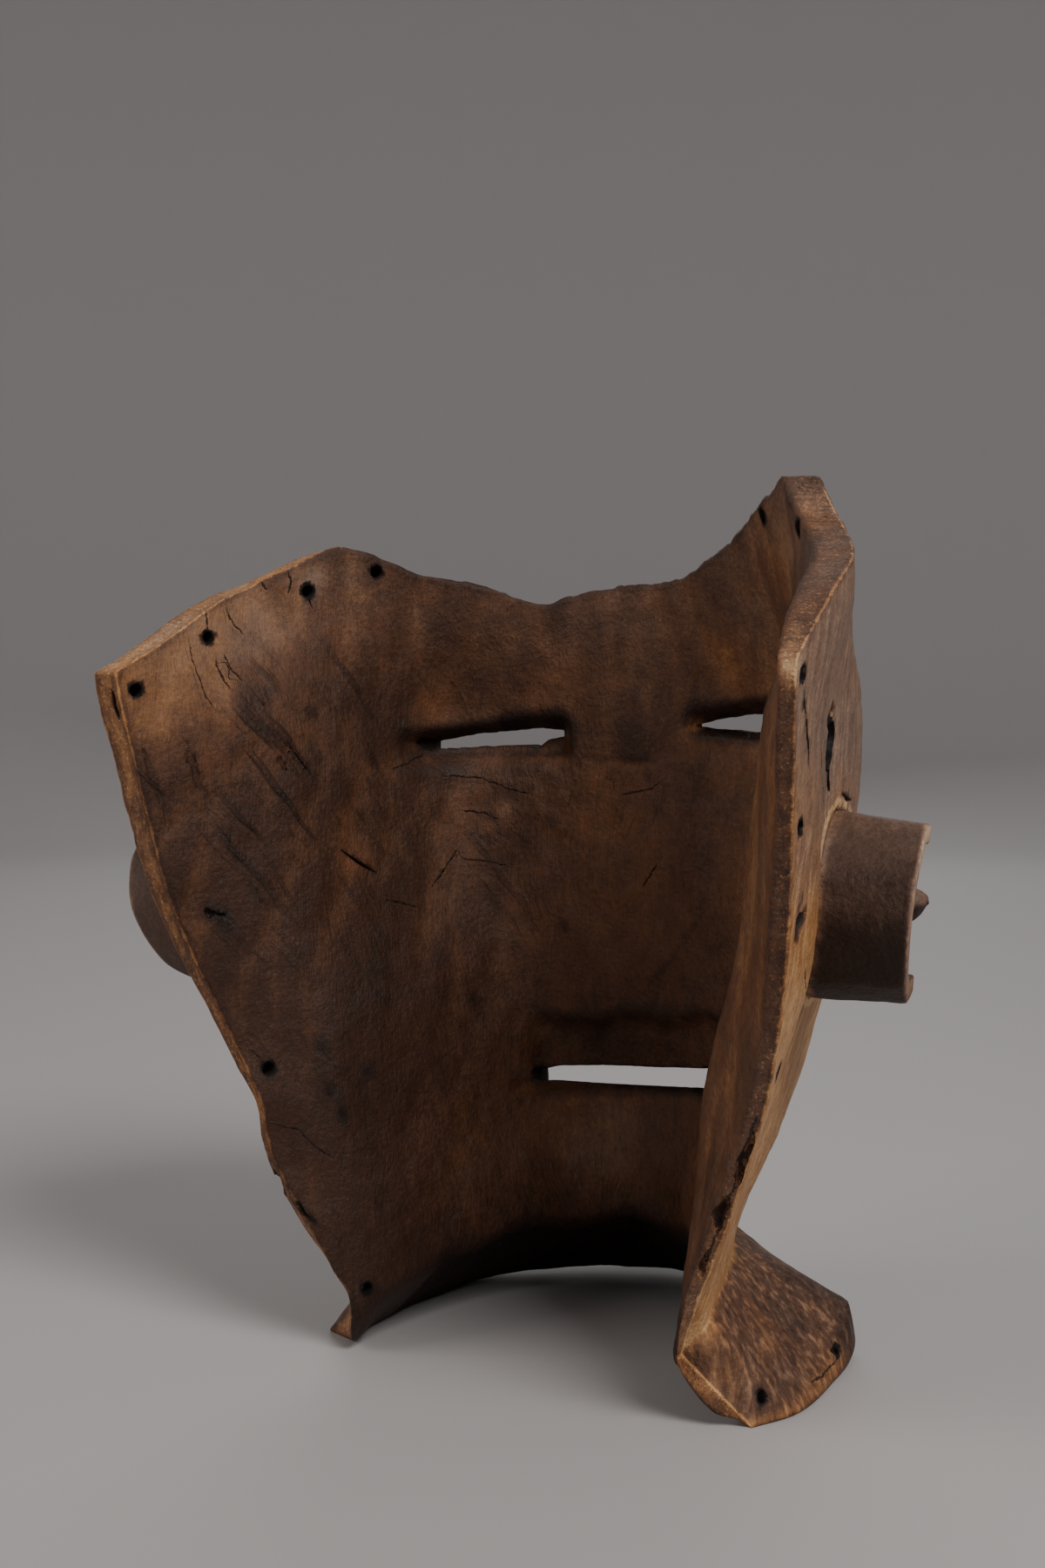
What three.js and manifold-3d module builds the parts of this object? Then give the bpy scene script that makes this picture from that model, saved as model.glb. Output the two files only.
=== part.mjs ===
// A chihongo mask, carved hollow from one block of wood, in millimetres with +Z up.
// The face looks towards -Y, the open back towards +Y. "Right" is the mask's -X side, "left" its +X side.
// It stands on the lower edge of its flared beard plate.
import * as THREE from "three";
import { mergeVertices } from "three/addons/utils/BufferGeometryUtils.js";
import Module from "manifold-3d";

const wasm = await Module();
wasm.setup();

// A smooth curve through a few values at rising places, with the end values kept outside them.
function curve(places, values) {
  const last = places.length - 1;
  const slope = places.map((_, i) => {
    const a = Math.max(i - 1, 0);
    const b = Math.min(i + 1, last);
    return (values[b] - values[a]) / (places[b] - places[a]);
  });
  return (p) => {
    if (p <= places[0]) return values[0];
    if (p >= places[last]) return values[last];
    let i = 0;
    while (p > places[i + 1]) i += 1;
    const span = places[i + 1] - places[i];
    const t = (p - places[i]) / span;
    const rise = values[i + 1] - values[i];
    const start = slope[i] * span;
    const end = slope[i + 1] * span;
    return values[i] + start * t + (3 * rise - 2 * start - end) * t * t + (start + end - 2 * rise) * t * t * t;
  };
}
const clamp = (v, low, high) => Math.min(Math.max(v, low), high);
const step = (low, high, v) => {
  const t = clamp((v - low) / (high - low), 0, 1);
  return t * t * (3 - 2 * t);
};
const bump = (distance, reach) => Math.exp(-((distance / reach) ** 2));
const between = (a, b, t) => a + (b - a) * t;

// The cavity wall, as upright lines on each side, given at a few heights: the middle of the face, the corner
// where the face turns, the cheek, the waist and the flank of the side wall, and the back rim.
// "half" is the distance from the middle plane, "ahead" the distance in front of the plate's back corners
// and "thick" the wood from there out to the face. "share" is the line's place between middle and rim.
const heights = [20, 45, 75, 105, 145, 206, 240, 275];
const lines = [
  {
    share: 0, // middle
    half: [0, 0, 0, 0, 0, 0, 0, 0],
    ahead: [82, 82.5, 84, 82.5, 78, 74, 69, 64],
    thick: [18, 18, 16, 16.5, 18, 20, 21, 18],
  },
  {
    share: 0.21, // corner
    half: [22, 23, 34, 37, 38, 41, 35, 32],
    ahead: [70, 70, 76, 75, 72, 70, 62, 55],
    thick: [12, 12, 15, 16.5, 17, 18, 17, 15],
  },
  {
    share: 0.39, // cheek
    half: [37, 37, 45, 50, 60, 69.5, 64, 57],
    ahead: [45, 46, 55, 56, 56, 54.5, 46, 37],
    thick: [12, 12, 15.5, 20, 20, 17.5, 17, 13],
  },
  {
    share: 0.78, // waist
    half: [50, 54, 61.5, 66, 77, 85.5, 97, 100],
    ahead: [4, 0, -8, -11, -13.5, -14.5, -14, -14],
    thick: [9, 11, 15, 20, 21, 17, 13, 10.5],
  },
  {
    share: 0.89, // flank
    half: [54, 60, 69, 77, 88, 96.5, 105, 107.5],
    ahead: [-6, -12, -19, -23.5, -32, -39, -43, -45],
    thick: [6, 8, 12, 16.5, 17.5, 13.5, 10.5, 9.5],
  },
  {
    share: 1, // rim
    half: [56.5, 65, 78.5, 90, 101, 109, 111, 113],
    ahead: [-15, -24, -30.5, -36, -50, -64, -71, -76],
    thick: [0, 0, 0, 0, 0, 0, 0, 0],
  },
];
const shares = lines.map((line) => line.share);
const rimLine = lines.length - 1;
const upright = (values) => curve(heights, values);
const halfAt = lines.map((line) => upright(line.half));
const aheadAt = lines.map((line) => upright(line.ahead));
const thickAt = lines.map((line) => upright(line.thick));

// The end face of the back rim: how far its outer edge stands out sideways, and forwards, of its inner edge.
const rimWide = {
  right: upright([-1, 3.5, 4.5, 4.5, 4.5, 4.5, 6, 7.5]),
  left: curve([15, 28, 42, 56, 68, 80, 96, 145, 206, 275], [3.4, 5, 7, 6.6, 3.6, 2.8, 4.8, 7.9, 10.2, 9.4]),
};
const rimDeep = upright([7, 4, 1, 1, 1, 1, 2, 3]);
const leftRimWave = curve([15, 30, 42, 62, 72, 84, 100, 125], [1.5, 3, 3.5, 4.5, 3, -1.5, -0.5, 0]);

// One horizontal section, from the middle (share 0) to the rim (share 1), smooth across the middle.
function section(points) {
  const mirrored = [[-points[1][0], points[1][1]], ...points];
  const places = [-shares[1], ...shares];
  return [curve(places, mirrored.map((p) => p[0])), curve(places, mirrored.map((p) => p[1]))];
}
function cavityPoints(height, side) {
  const wave = side > 0 ? leftRimWave(height) : 0;
  return lines.map((_, i) => [halfAt[i](height) + (i === rimLine ? wave : 0), aheadAt[i](height)]);
}
function facePoints(height, side) {
  const points = cavityPoints(height, side);
  const [half, ahead] = section(points);
  return points.map(([x, y], i) => {
    if (i === rimLine) return [x + (side < 0 ? rimWide.right : rimWide.left)(height), y + rimDeep(height)];
    const dx = half(shares[i] + 0.02) - half(shares[i] - 0.02);
    const dy = ahead(shares[i] + 0.02) - ahead(shares[i] - 0.02);
    const length = Math.hypot(dx, dy);
    return [x - (dy / length) * thickAt[i](height), y + (dx / length) * thickAt[i](height)];
  });
}

// The flared beard plate: the plan of its lower edge, and the heights of its edges and creases, middle to rim.
const plateShares = [0, 0.12, 0.21, 0.3, 0.39, 0.6, 0.78, 1];
const plateOuter = {
  right: { half: [0, 28, 46, 64, 80, 84, 83.5, 75], ahead: [123, 113, 101, 87, 75, 43, 18, 0] },
  left: { half: [0, 28, 46, 64, 80, 84, 83.5, 80], ahead: [123, 113, 101, 87, 75, 43, 18, 3] },
};
const plateInner = {
  right: { half: [0, 25, 42, 54, 62.5, 69, 70, 72.5], ahead: [106, 99, 88, 77.5, 64, 40, 17, 1] },
  left: { half: [0, 25, 42, 54, 62.5, 69, 70, 66.5], ahead: [106, 99, 88, 77.5, 64, 40, 17, -1] },
};
const footHeight = curve([0, 0.21, 0.39, 0.5], [5, 4, 1.5, 0]);
const plateEdgeHeight = curve([0, 0.2, 0.39, 0.5, 0.6, 0.78, 1], [15, 15, 15.5, 8.5, 5, 3, 1.5]);
const plateEdgeLean = 0.06;
const creaseShares = [0, 0.2, 0.39, 0.5, 0.65, 0.78, 0.9, 1];
const outerCrease = {
  right: curve(creaseShares, [38, 38, 37, 36.5, 36, 33, 28, 21]),
  left: curve(creaseShares, [38, 38, 38, 38, 35, 29, 22, 14]),
};
const innerCrease = {
  right: curve([0, 0.39, 0.78, 1], [29, 27, 24, 20.5]),
  left: curve([0, 0.39, 0.78, 1], [29, 27, 20, 12]),
};
const rearUndercut = 4;

// The top edge: a horn on each side, the right one higher, and the worn forehead edge dipping between them.
const topEdge = {
  right: curve(
    [0, 0.12, 0.21, 0.33, 0.44, 0.5, 0.55, 0.62, 0.72, 0.82, 0.9, 1],
    [252.5, 253.3, 258, 266.5, 272.5, 274.5, 279, 269, 259, 249, 238, 221],
  ),
  left: curve(
    [0, 0.1, 0.19, 0.3, 0.46, 0.55, 0.62, 0.74, 0.82, 0.9, 1],
    [252.5, 250.4, 246.6, 252.8, 258, 263.6, 264.6, 254.6, 247, 234.2, 221],
  ),
};
const leftTopLean = 1.2;

// The carved face, as how far the wood stands out from the plain outer wall.
const faceTilt = 0.06;
const brow = { height: 222, arch: 8, rise: 3.5, reach: 6 };
const socket = { half: 46, height: 201, wide: 38, tall: 30, depth: 7 };
const lid = { wide: 29, tall: 11, rise: 6 };
const nose = { top: 222, tip: 122, narrow: 6, broad: 13, low: 9, high: 21 };
const mouth = { height: 79.5, wide: 53, lip: 6, gap: 8, rise: 5 };
function relief(x, z) {
  const h = z + faceTilt * x;
  const aside = Math.abs(x);
  const fromEye = aside - socket.half;
  const inSocket = Math.hypot(fromEye / socket.wide, (h - socket.height) / socket.tall);
  const inLid = Math.hypot(fromEye / lid.wide, (h - socket.height) / lid.tall);
  let out = lid.rise * (1 - step(0.35, 1, inLid)) - socket.depth * (1 - step(0.55, 1, inSocket));
  const browLine = brow.height - brow.arch / 2 + brow.arch * Math.cos(clamp(fromEye / 34, -1.4, 1.4));
  out += brow.rise * bump(h - browLine, brow.reach) * step(88, 60, aside);

  const down = clamp((nose.top - h) / (nose.top - nose.tip), 0, 1);
  const noseHalf = between(nose.narrow, nose.broad, down ** 2);
  const ends = step(nose.top + 12, nose.top - 10, h) * step(nose.tip - 9, nose.tip + 3, h);
  const bridge = between(nose.low, nose.high, down) * ends;
  out = Math.max(out, bridge * step(noseHalf + 5, noseHalf - 4, aside) + out * 0.2);

  const along = Math.sqrt(Math.max(1 - (x / mouth.wide) ** 2, 0));
  const fromLip = Math.abs(h - mouth.height) - mouth.gap * along;
  return out + mouth.rise * bump(fromLip, mouth.lip) * step(0, 0.6, along);
}

// Inside, the wood behind the upper lip is hollowed down to the mouth slit.
const lipHollow = { half: 43, tall: 20, depth: 7, bottom: 82, tilt: 0.08 };
function hollow(x, z) {
  const above = z - (lipHollow.bottom - lipHollow.tilt * x);
  const across = step(lipHollow.half + 2, lipHollow.half - 2, Math.abs(x));
  return lipHollow.depth * across * clamp(1 - above / lipHollow.tall, 0, 1) * step(-8, -4, above);
}

// Columns of the shell from the right rim (-1) to the left rim (1), closer together over the face, and its
// rows above the creases, named by their height in the middle of the face.
const faceColumns = 17;
const sideColumns = 9;
const faceShare = 0.42;
const halfColumns = [];
for (let i = 0; i < faceColumns; i += 1) halfColumns.push((faceShare * i) / faceColumns);
for (let i = 0; i <= sideColumns; i += 1) halfColumns.push(between(faceShare, 1, i / sideColumns));
const columns = [...halfColumns.slice(1).reverse().map((s) => -s), ...halfColumns];
const rowHeights = [
  50, 60, 67, 72, 76, 80, 84, 88, 93, 100, 108, 114, 118, 123, 132,
  143, 155, 167, 179, 188, 195, 201, 207, 213, 220, 227, 236, 245, 253,
];
const rowBase = 38;

// A point of the shell in space. Columns of the right half carry a negative place u.
const place = (u, half, ahead, height) => [Math.sign(u || 1) * half, -ahead, height];
const mix = (a, b, t) => a.map((v, i) => between(v, b[i], t));

function wallPoint(u, height, outside) {
  const [half, ahead] = section(outside ? facePoints(height, u) : cavityPoints(height, u));
  const s = Math.abs(u);
  const point = place(u, half(s), ahead(s), height);
  const stands = outside ? relief(point[0], height) * step(0.62, 0.4, s) : hollow(point[0], height);
  const dx = half(s + 0.01) - half(s - 0.01);
  const dy = ahead(s + 0.01) - ahead(s - 0.01);
  const length = Math.hypot(dx, dy);
  return [point[0] - Math.sign(u || 1) * (dy / length) * stands, point[1] - (dx / length) * stands, height];
}

// One column of points from the plate's foot up to the top edge, on the face or in the cavity.
function column(u, outside) {
  const s = Math.abs(u);
  const side = u < 0 ? "right" : "left";
  const plan = (outside ? plateOuter : plateInner)[side];
  const places = [-plateShares[1], ...plateShares];
  const half = curve(places, [-plan.half[1], ...plan.half]);
  const ahead = curve(places, [plan.ahead[1], ...plan.ahead]);
  const foot = place(u, half(s), ahead(s), footHeight(s));
  const crease = wallPoint(u, (outside ? outerCrease : innerCrease)[side](s), outside);
  const points = [foot];
  if (outside) {
    const edge = mix(foot, crease, plateEdgeLean);
    edge[2] = Math.max(plateEdgeHeight(s), foot[2] + 1.2);
    points.push(edge, mix(edge, crease, 0.35), mix(edge, crease, 0.7));
  } else {
    for (const t of [0.25, 0.5, 0.75]) {
      const under = mix(foot, crease, t);
      under[2] -= rearUndercut * step(0.8, 1, s) * Math.sin(Math.PI * t) * Math.min(1, under[2] / 8);
      points.push(under);
    }
  }
  points.push(crease);
  const lean = outside && side === "left" ? leftTopLean * step(0.52, 0.66, s) * step(1, 0.9, s) : 0;
  const top = topEdge[side](s) + lean;
  for (const rowHeight of rowHeights) {
    const share = (rowHeight - rowBase) / (rowHeights.at(-1) - rowBase);
    points.push(wallPoint(u, between(crease[2], top, share), outside));
  }
  return points;
}

// A closed solid from points and outward faces.
function solid(points, faces) {
  const geometry = new THREE.BufferGeometry();
  geometry.setAttribute("position", new THREE.Float32BufferAttribute(points.flat(), 3));
  geometry.setIndex(faces.flat());
  const merged = mergeVertices(geometry, 1e-4);
  return new wasm.Manifold(
    new wasm.Mesh({
      numProp: 3,
      vertProperties: new Float32Array(merged.attributes.position.array),
      triVerts: new Uint32Array(merged.index.array),
    }),
  );
}
const quad = (a, b, c, d) => [[a, b, c], [a, c, d]];

// The shell itself: face and cavity, joined along the foot, the top edge and both rims.
function shell() {
  const sides = [true, false].map((outside) => columns.map((u) => column(u, outside)));
  const across = columns.length;
  const up = sides[0][0].length;
  const id = (side, c, r) => (side * across + c) * up + r;
  const faces = [];
  for (let c = 0; c + 1 < across; c += 1) {
    for (let r = 0; r + 1 < up; r += 1) {
      faces.push(...quad(id(0, c, r), id(0, c + 1, r), id(0, c + 1, r + 1), id(0, c, r + 1)));
      faces.push(...quad(id(1, c, r), id(1, c, r + 1), id(1, c + 1, r + 1), id(1, c + 1, r)));
    }
    faces.push(...quad(id(0, c, up - 1), id(0, c + 1, up - 1), id(1, c + 1, up - 1), id(1, c, up - 1)));
    faces.push(...quad(id(1, c, 0), id(1, c + 1, 0), id(0, c + 1, 0), id(0, c, 0)));
  }
  const end = across - 1;
  for (let r = 0; r + 1 < up; r += 1) {
    faces.push(...quad(id(0, 0, r), id(0, 0, r + 1), id(1, 0, r + 1), id(1, 0, r)));
    faces.push(...quad(id(1, end, r), id(1, end, r + 1), id(0, end, r + 1), id(0, end, r)));
  }
  return solid(sides.flat(2), faces);
}

// A prism swept between two matching loops of points, closed by the same flat outline at both ends.
function prism(first, last, outline) {
  const n = outline.length;
  const flat = outline.map(([x, y]) => new THREE.Vector2(x, y));
  const turn = Math.sign(THREE.ShapeUtils.area(flat));
  const faces = [];
  for (let i = 0; i < n; i += 1) {
    const j = (i + 1) % n;
    faces.push(...quad(i, j, n + j, n + i));
  }
  for (const [a, b, c] of THREE.ShapeUtils.triangulateShape(flat, [])) {
    const same = Math.sign(THREE.ShapeUtils.area([flat[a], flat[b], flat[c]])) === turn;
    const [p, q, r] = same ? [a, b, c] : [a, c, b];
    faces.push([r, q, p], [n + p, n + q, n + r]);
  }
  const points = [...first, ...last];
  const made = solid(points, faces);
  return made.volume() > 0 ? made : solid(points, faces.map(([a, b, c]) => [a, c, b]));
}
const ring = (count, turn = 0) =>
  Array.from({ length: count }, (_, i) => {
    const angle = (2 * Math.PI * (i + turn)) / count;
    return [Math.cos(angle), Math.sin(angle)];
  });

// The ears: half a tube standing out on each side, open to the front, with a peg in its middle.
// "end" is the reach of its free end, which leans out by endBack at the back and by endTop at the top.
const ears = [
  {
    side: -1, ahead: 17, height: 152.5, radius: 28.5, thick: 6.5, root: 84, end: 119.5, endBack: 6.5, endTop: 3,
    peg: { ahead: 24, height: 152, root: 80, end: 118 },
  },
  {
    side: 1, ahead: -5, height: 149, radius: 35, thick: 6.5, root: 90, end: 123.5, endBack: 7, endTop: 6,
    peg: { ahead: 10, height: 149, root: 84, end: 119 },
  },
];
const earOpen = 1.9;
const earSteps = 12;
const earRootLean = 0.2;
const earEndFlat = 0.09;
const earEndDrop = 1.5;
function ear({ side, ahead, height, radius, thick, root, end, endBack, endTop }) {
  const angles = Array.from({ length: earSteps + 1 }, (_, i) => between(-earOpen, earOpen, i / earSteps));
  const arc = (r) => angles.map((a) => [r * Math.cos(a), r * Math.sin(a)]);
  const outline = [...arc(radius), ...arc(radius - thick).reverse()];
  const rootLoop = outline.map(([back, high]) => [side * (root + earRootLean * back), back - ahead, height + high]);
  const endLoop = outline.map(([back, high]) => {
    const reach = end + endBack * (back / radius) + endTop * (high / radius);
    return [side * reach, back - ahead, height + high * (1 - earEndFlat) - earEndDrop];
  });
  return prism(rootLoop, endLoop, outline);
}
const pegRadius = { root: 7.5, end: 5.5 };
function earPeg({ side, peg }) {
  const outline = ring(8);
  const loop = (x, r) => outline.map(([back, high]) => [side * x, r * back - peg.ahead, peg.height + r * high]);
  return prism(loop(peg.root, pegRadius.root), loop(peg.end, pegRadius.end), outline);
}

// The eye and mouth slits, cut from the cavity out through the face and widening as they go outwards.
// An outline lists [place along the slit, height]: an eye runs from its inner corner (0) to its outer one (1),
// the mouth from the right (-1) to the left (1).
const slitFrom = 40;
const slitTo = 125;
const eyeSpread = (side) => (along, ahead) => {
  const near = side > 0 ? 30.5 + 0.1 * (ahead - 70) : 27 - 0.46 * (ahead - 70);
  const far = 70 + 0.59 * (ahead - 55);
  return side * between(near, far, along);
};
const mouthSpread = (along, ahead) => along * (40.5 + 0.28 * (ahead - 75));
const slits = [
  {
    spread: eyeSpread(1),
    outline: [
      [0, 202.4], [0.2, 203.4], [0.7, 201], [1, 198.4],
      [1, 195.4], [0.7, 196.3], [0.28, 197.2], [0.2, 196], [0.12, 199], [0, 200.3],
    ],
  },
  {
    spread: eyeSpread(-1),
    outline: [[0, 204.8], [0.1, 206.5], [0.28, 208.2], [1, 208.6], [1, 202.4], [0.28, 202], [0.1, 203], [0, 203.8]],
  },
  {
    spread: mouthSpread,
    outline: [
      [1, 78.6], [0.85, 80.2], [0, 82], [-0.6, 84.5], [-1, 85.4],
      [-1, 79.2], [-0.6, 78], [0, 75.2], [0.85, 75], [1, 76.6],
    ],
  },
];
function slit({ spread, outline }) {
  const loop = (ahead) => outline.map(([along, z]) => [spread(along, ahead), -ahead, z]);
  return prism(loop(slitFrom), loop(slitTo), outline.map(([along, z]) => [along * 60, z]));
}

// The lashing holes along the rim, the top edge and the plate, each bored straight through the wall, and two
// on the right cheek that stop at a small depth.
const boreRadius = 2;
const bores = [
  { name: "left_corner", at: [108, -61, 215.5], axis: [-0.91, 0.4, 0.09], reach: 14 },
  { name: "left_top_back", at: [101.5, -34, 233], axis: [-0.94, 0.25, 0.1], reach: 16 },
  { name: "left_top_middle", at: [90, 3.5, 250], axis: [-0.89, 0.46, 0], reach: 17 },
  { name: "left_top_front", at: [76, 24, 257.5], axis: [-0.78, 0.6, 0], reach: 18 },
  { name: "left_low", at: [80.5, -29, 94], axis: [-0.9, 0.4, 0.1], reach: 15 },
  { name: "left_foot", at: [56, -9, 21.5], axis: [-0.9, 0.4, 0], reach: 26 },
  { name: "right_horn_front", at: [-66, 30, 269], axis: [0.74, 0.66, 0.25], reach: 17 },
  { name: "right_horn_back", at: [-87, 5.5, 262], axis: [0.88, 0.48, 0.35], reach: 16 },
  { name: "right_corner", at: [-114.5, -59.5, 217.5], axis: [-1, 0, -0.1], reach: 14 },
  { name: "right_middle", at: [-109.5, -50, 178.5], axis: [-1, 0.05, -0.1], reach: 20, depth: 3 },
  { name: "right_low", at: [-94, -27, 110], axis: [-0.95, -0.1, -0.25], reach: 18, depth: 2 },
  { name: "right_foot", at: [-75.5, 5.5, 7.5], axis: [-0.7, 0.1, 0.7], reach: 12 },
];
function bore({ at: [x, ahead, z], axis, reach, depth = reach }) {
  const along = new THREE.Vector3(...axis).normalize();
  const across = new THREE.Vector3(0, 0, 1).cross(along).normalize();
  const up = along.clone().cross(across);
  const outline = ring(8, 0.5).map(([p, q]) => [boreRadius * p, boreRadius * q]);
  const loop = (far) =>
    outline.map(([p, q]) => {
      const point = new THREE.Vector3(x, -ahead, z).addScaledVector(along, far);
      return point.addScaledVector(across, p).addScaledVector(up, q).toArray();
    });
  return prism(loop(-depth), loop(reach), outline);
}

let carved = shell();
for (const size of ears) carved = carved.add(ear(size)).add(earPeg(size));
for (const cut of [...slits.map(slit), ...bores.map(bore)]) carved = carved.subtract(cut);

const { vertProperties, triVerts } = carved.getMesh();
const geometry = new THREE.BufferGeometry();
geometry.setAttribute("position", new THREE.BufferAttribute(new Float32Array(vertProperties), 3));
geometry.setIndex(new THREE.BufferAttribute(new Uint32Array(triVerts), 1));
geometry.computeBoundingBox();
const { min, max } = geometry.boundingBox;
geometry.translate(-(min.x + max.x) / 2, -(min.y + max.y) / 2, -min.z);
geometry.computeVertexNormals();

const wood = new THREE.MeshStandardMaterial({ color: 0x5a3a24, roughness: 0.6, metalness: 0 });
const mask = new THREE.Mesh(geometry, wood);
mask.name = "mask";

const group = new THREE.Group();
group.name = "chihongo_mask";
group.add(mask);
export default group;
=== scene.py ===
import math

import bpy
import numpy as np
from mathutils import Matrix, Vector, bvhtree, kdtree, noise


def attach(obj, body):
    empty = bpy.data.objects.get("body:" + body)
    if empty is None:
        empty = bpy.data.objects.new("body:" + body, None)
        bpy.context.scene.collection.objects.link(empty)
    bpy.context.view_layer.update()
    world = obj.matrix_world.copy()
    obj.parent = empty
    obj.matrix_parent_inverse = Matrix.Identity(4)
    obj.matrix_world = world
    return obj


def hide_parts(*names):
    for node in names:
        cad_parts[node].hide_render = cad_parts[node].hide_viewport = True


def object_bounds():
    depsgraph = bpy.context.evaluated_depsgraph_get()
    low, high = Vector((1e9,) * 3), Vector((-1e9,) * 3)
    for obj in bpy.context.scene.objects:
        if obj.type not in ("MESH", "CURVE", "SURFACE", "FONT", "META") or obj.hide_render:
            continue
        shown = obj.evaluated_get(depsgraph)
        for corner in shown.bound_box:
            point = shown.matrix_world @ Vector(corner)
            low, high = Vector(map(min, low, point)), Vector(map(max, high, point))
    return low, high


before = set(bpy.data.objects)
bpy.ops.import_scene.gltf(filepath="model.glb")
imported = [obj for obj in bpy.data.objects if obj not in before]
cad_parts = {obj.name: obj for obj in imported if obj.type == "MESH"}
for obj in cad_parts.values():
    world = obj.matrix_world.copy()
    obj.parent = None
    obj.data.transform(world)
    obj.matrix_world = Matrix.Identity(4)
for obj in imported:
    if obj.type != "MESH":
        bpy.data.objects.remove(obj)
solid_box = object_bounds()

# The stand-in studio: a pale seamless floor that rolls up into a wall, three soft lights and an even sky.
# The camera stands behind the mask's right side, level, 206 mm above the floor.
camera_data = bpy.data.cameras.new("camera")
camera_data.lens = 40
camera_data.sensor_width = 36
camera_data.shift_y = -73 / 1800
camera_data.clip_start = 0.01
camera = bpy.data.objects.new("camera", camera_data)
bpy.context.scene.collection.objects.link(camera)
camera.location = (-0.2777, 0.4982, 0.206)
view_yaw = math.radians(180 + 30.5)
camera.rotation_euler = (math.radians(90), 0, view_yaw)
bpy.context.scene.camera = camera


def soft_light(name, place, size, power, colour):
    """A square lamp that faces the middle of the mask."""
    data = bpy.data.lights.new(name, "AREA")
    data.shape = "SQUARE"
    data.size = size
    data.energy = power
    data.color = colour
    lamp = bpy.data.objects.new(name, data)
    lamp.location = place
    aim = Vector((0, 0, 0.15)) - Vector(place)
    lamp.rotation_euler = aim.to_track_quat("-Z", "Y").to_euler()
    bpy.context.scene.collection.objects.link(lamp)


soft_light("key", (-1.35, 0.75, 1.6), 0.8, 34, (1.0, 0.965, 0.92))
soft_light("left_fill", (1.5, 1.6, 1.2), 1.3, 20, (1.0, 0.935, 0.86))
soft_light("front_fill", (0.9, -1.9, 1.2), 1.4, 9, (1.0, 0.98, 0.96))

world = bpy.data.worlds.new("sky")
bpy.context.scene.world = world
world.use_nodes = True
world.node_tree.nodes["Background"].inputs["Color"].default_value = (0.66, 0.63, 0.62, 1)
world.node_tree.nodes["Background"].inputs["Strength"].default_value = 0.3


def seamless_floor():
    """A floor that is flat for 2.2 m around the mask and bends up into a round wall."""
    flat = 2.2
    bend = 1.0
    rings = [0.0, 0.6, 1.4, flat]
    profile = [(r, 0.0) for r in rings]
    for i in range(1, 13):
        turn = math.pi / 2 * i / 12
        profile.append((flat + bend * math.sin(turn), bend * (1 - math.cos(turn))))
    profile.append((flat + bend, 3.2))
    around = 64
    points = [(0.0, 0.0, 0.0)]
    for r, z in profile[1:]:
        for k in range(around):
            turn = 2 * math.pi * k / around
            points.append((r * math.cos(turn), r * math.sin(turn), z))
    faces = [(0, 1 + k, 1 + (k + 1) % around) for k in range(around)]
    for ring in range(len(profile) - 2):
        for k in range(around):
            a = 1 + ring * around + k
            b = 1 + ring * around + (k + 1) % around
            faces.append((a, a + around, b + around, b))
    mesh = bpy.data.meshes.new("floor")
    mesh.from_pydata(points, [], faces)
    mesh.shade_smooth()
    floor = bpy.data.objects.new("floor", mesh)
    bpy.context.scene.collection.objects.link(floor)
    paint = bpy.data.materials.new("floor_paint")
    paint.use_nodes = True
    paint.node_tree.nodes["Principled BSDF"].inputs["Base Color"].default_value = (0.44, 0.43, 0.44, 1)
    paint.node_tree.nodes["Principled BSDF"].inputs["Roughness"].default_value = 0.7
    mesh.materials.append(paint)


seamless_floor()


# The shell: one block of wood with its grain upright, hollowed with an adze and carved to the face outside.
# All sizes are millimetres. "half" is out from the middle plane, "ahead" is forwards, and the block is set
# so that its box has its middle over the floor's middle, with the face towards -Y.
block_set = np.array([-3.04, 27.61, 0.0])


def curve(places, values, p):
    """A smooth curve through values at rising places, with one number or one array for each place."""
    places = np.asarray(places, float)
    values = [np.asarray(v, float) for v in values]
    last = len(places) - 1
    p = np.clip(np.asarray(p, float), places[0], places[-1])
    values = np.stack([np.broadcast_to(v, p.shape) for v in values])
    before = [max(k - 1, 0) for k in range(last + 1)]
    after = [min(k + 1, last) for k in range(last + 1)]
    spans = (places[after] - places[before]).reshape(-1, *([1] * p.ndim))
    slopes = (values[after] - values[before]) / spans
    i = np.clip(np.searchsorted(places, p) - 1, 0, last - 1)
    at = lambda table, k: np.take_along_axis(table, k[None], 0)[0]
    span = places[i + 1] - places[i]
    t = (p - places[i]) / span
    here = at(values, i)
    rise = at(values, i + 1) - here
    start = at(slopes, i) * span
    end = at(slopes, i + 1) * span
    return here + start * t + (3 * rise - 2 * start - end) * t**2 + (start + end - 2 * rise) * t**3


def ease(low, high, v):
    t = np.clip((v - low) / (high - low), 0, 1)
    return t * t * (3 - 2 * t)


def hump(distance, reach):
    return np.exp(-((distance / reach) ** 2))


def between(a, b, t):
    return a + (b - a) * t


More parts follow.
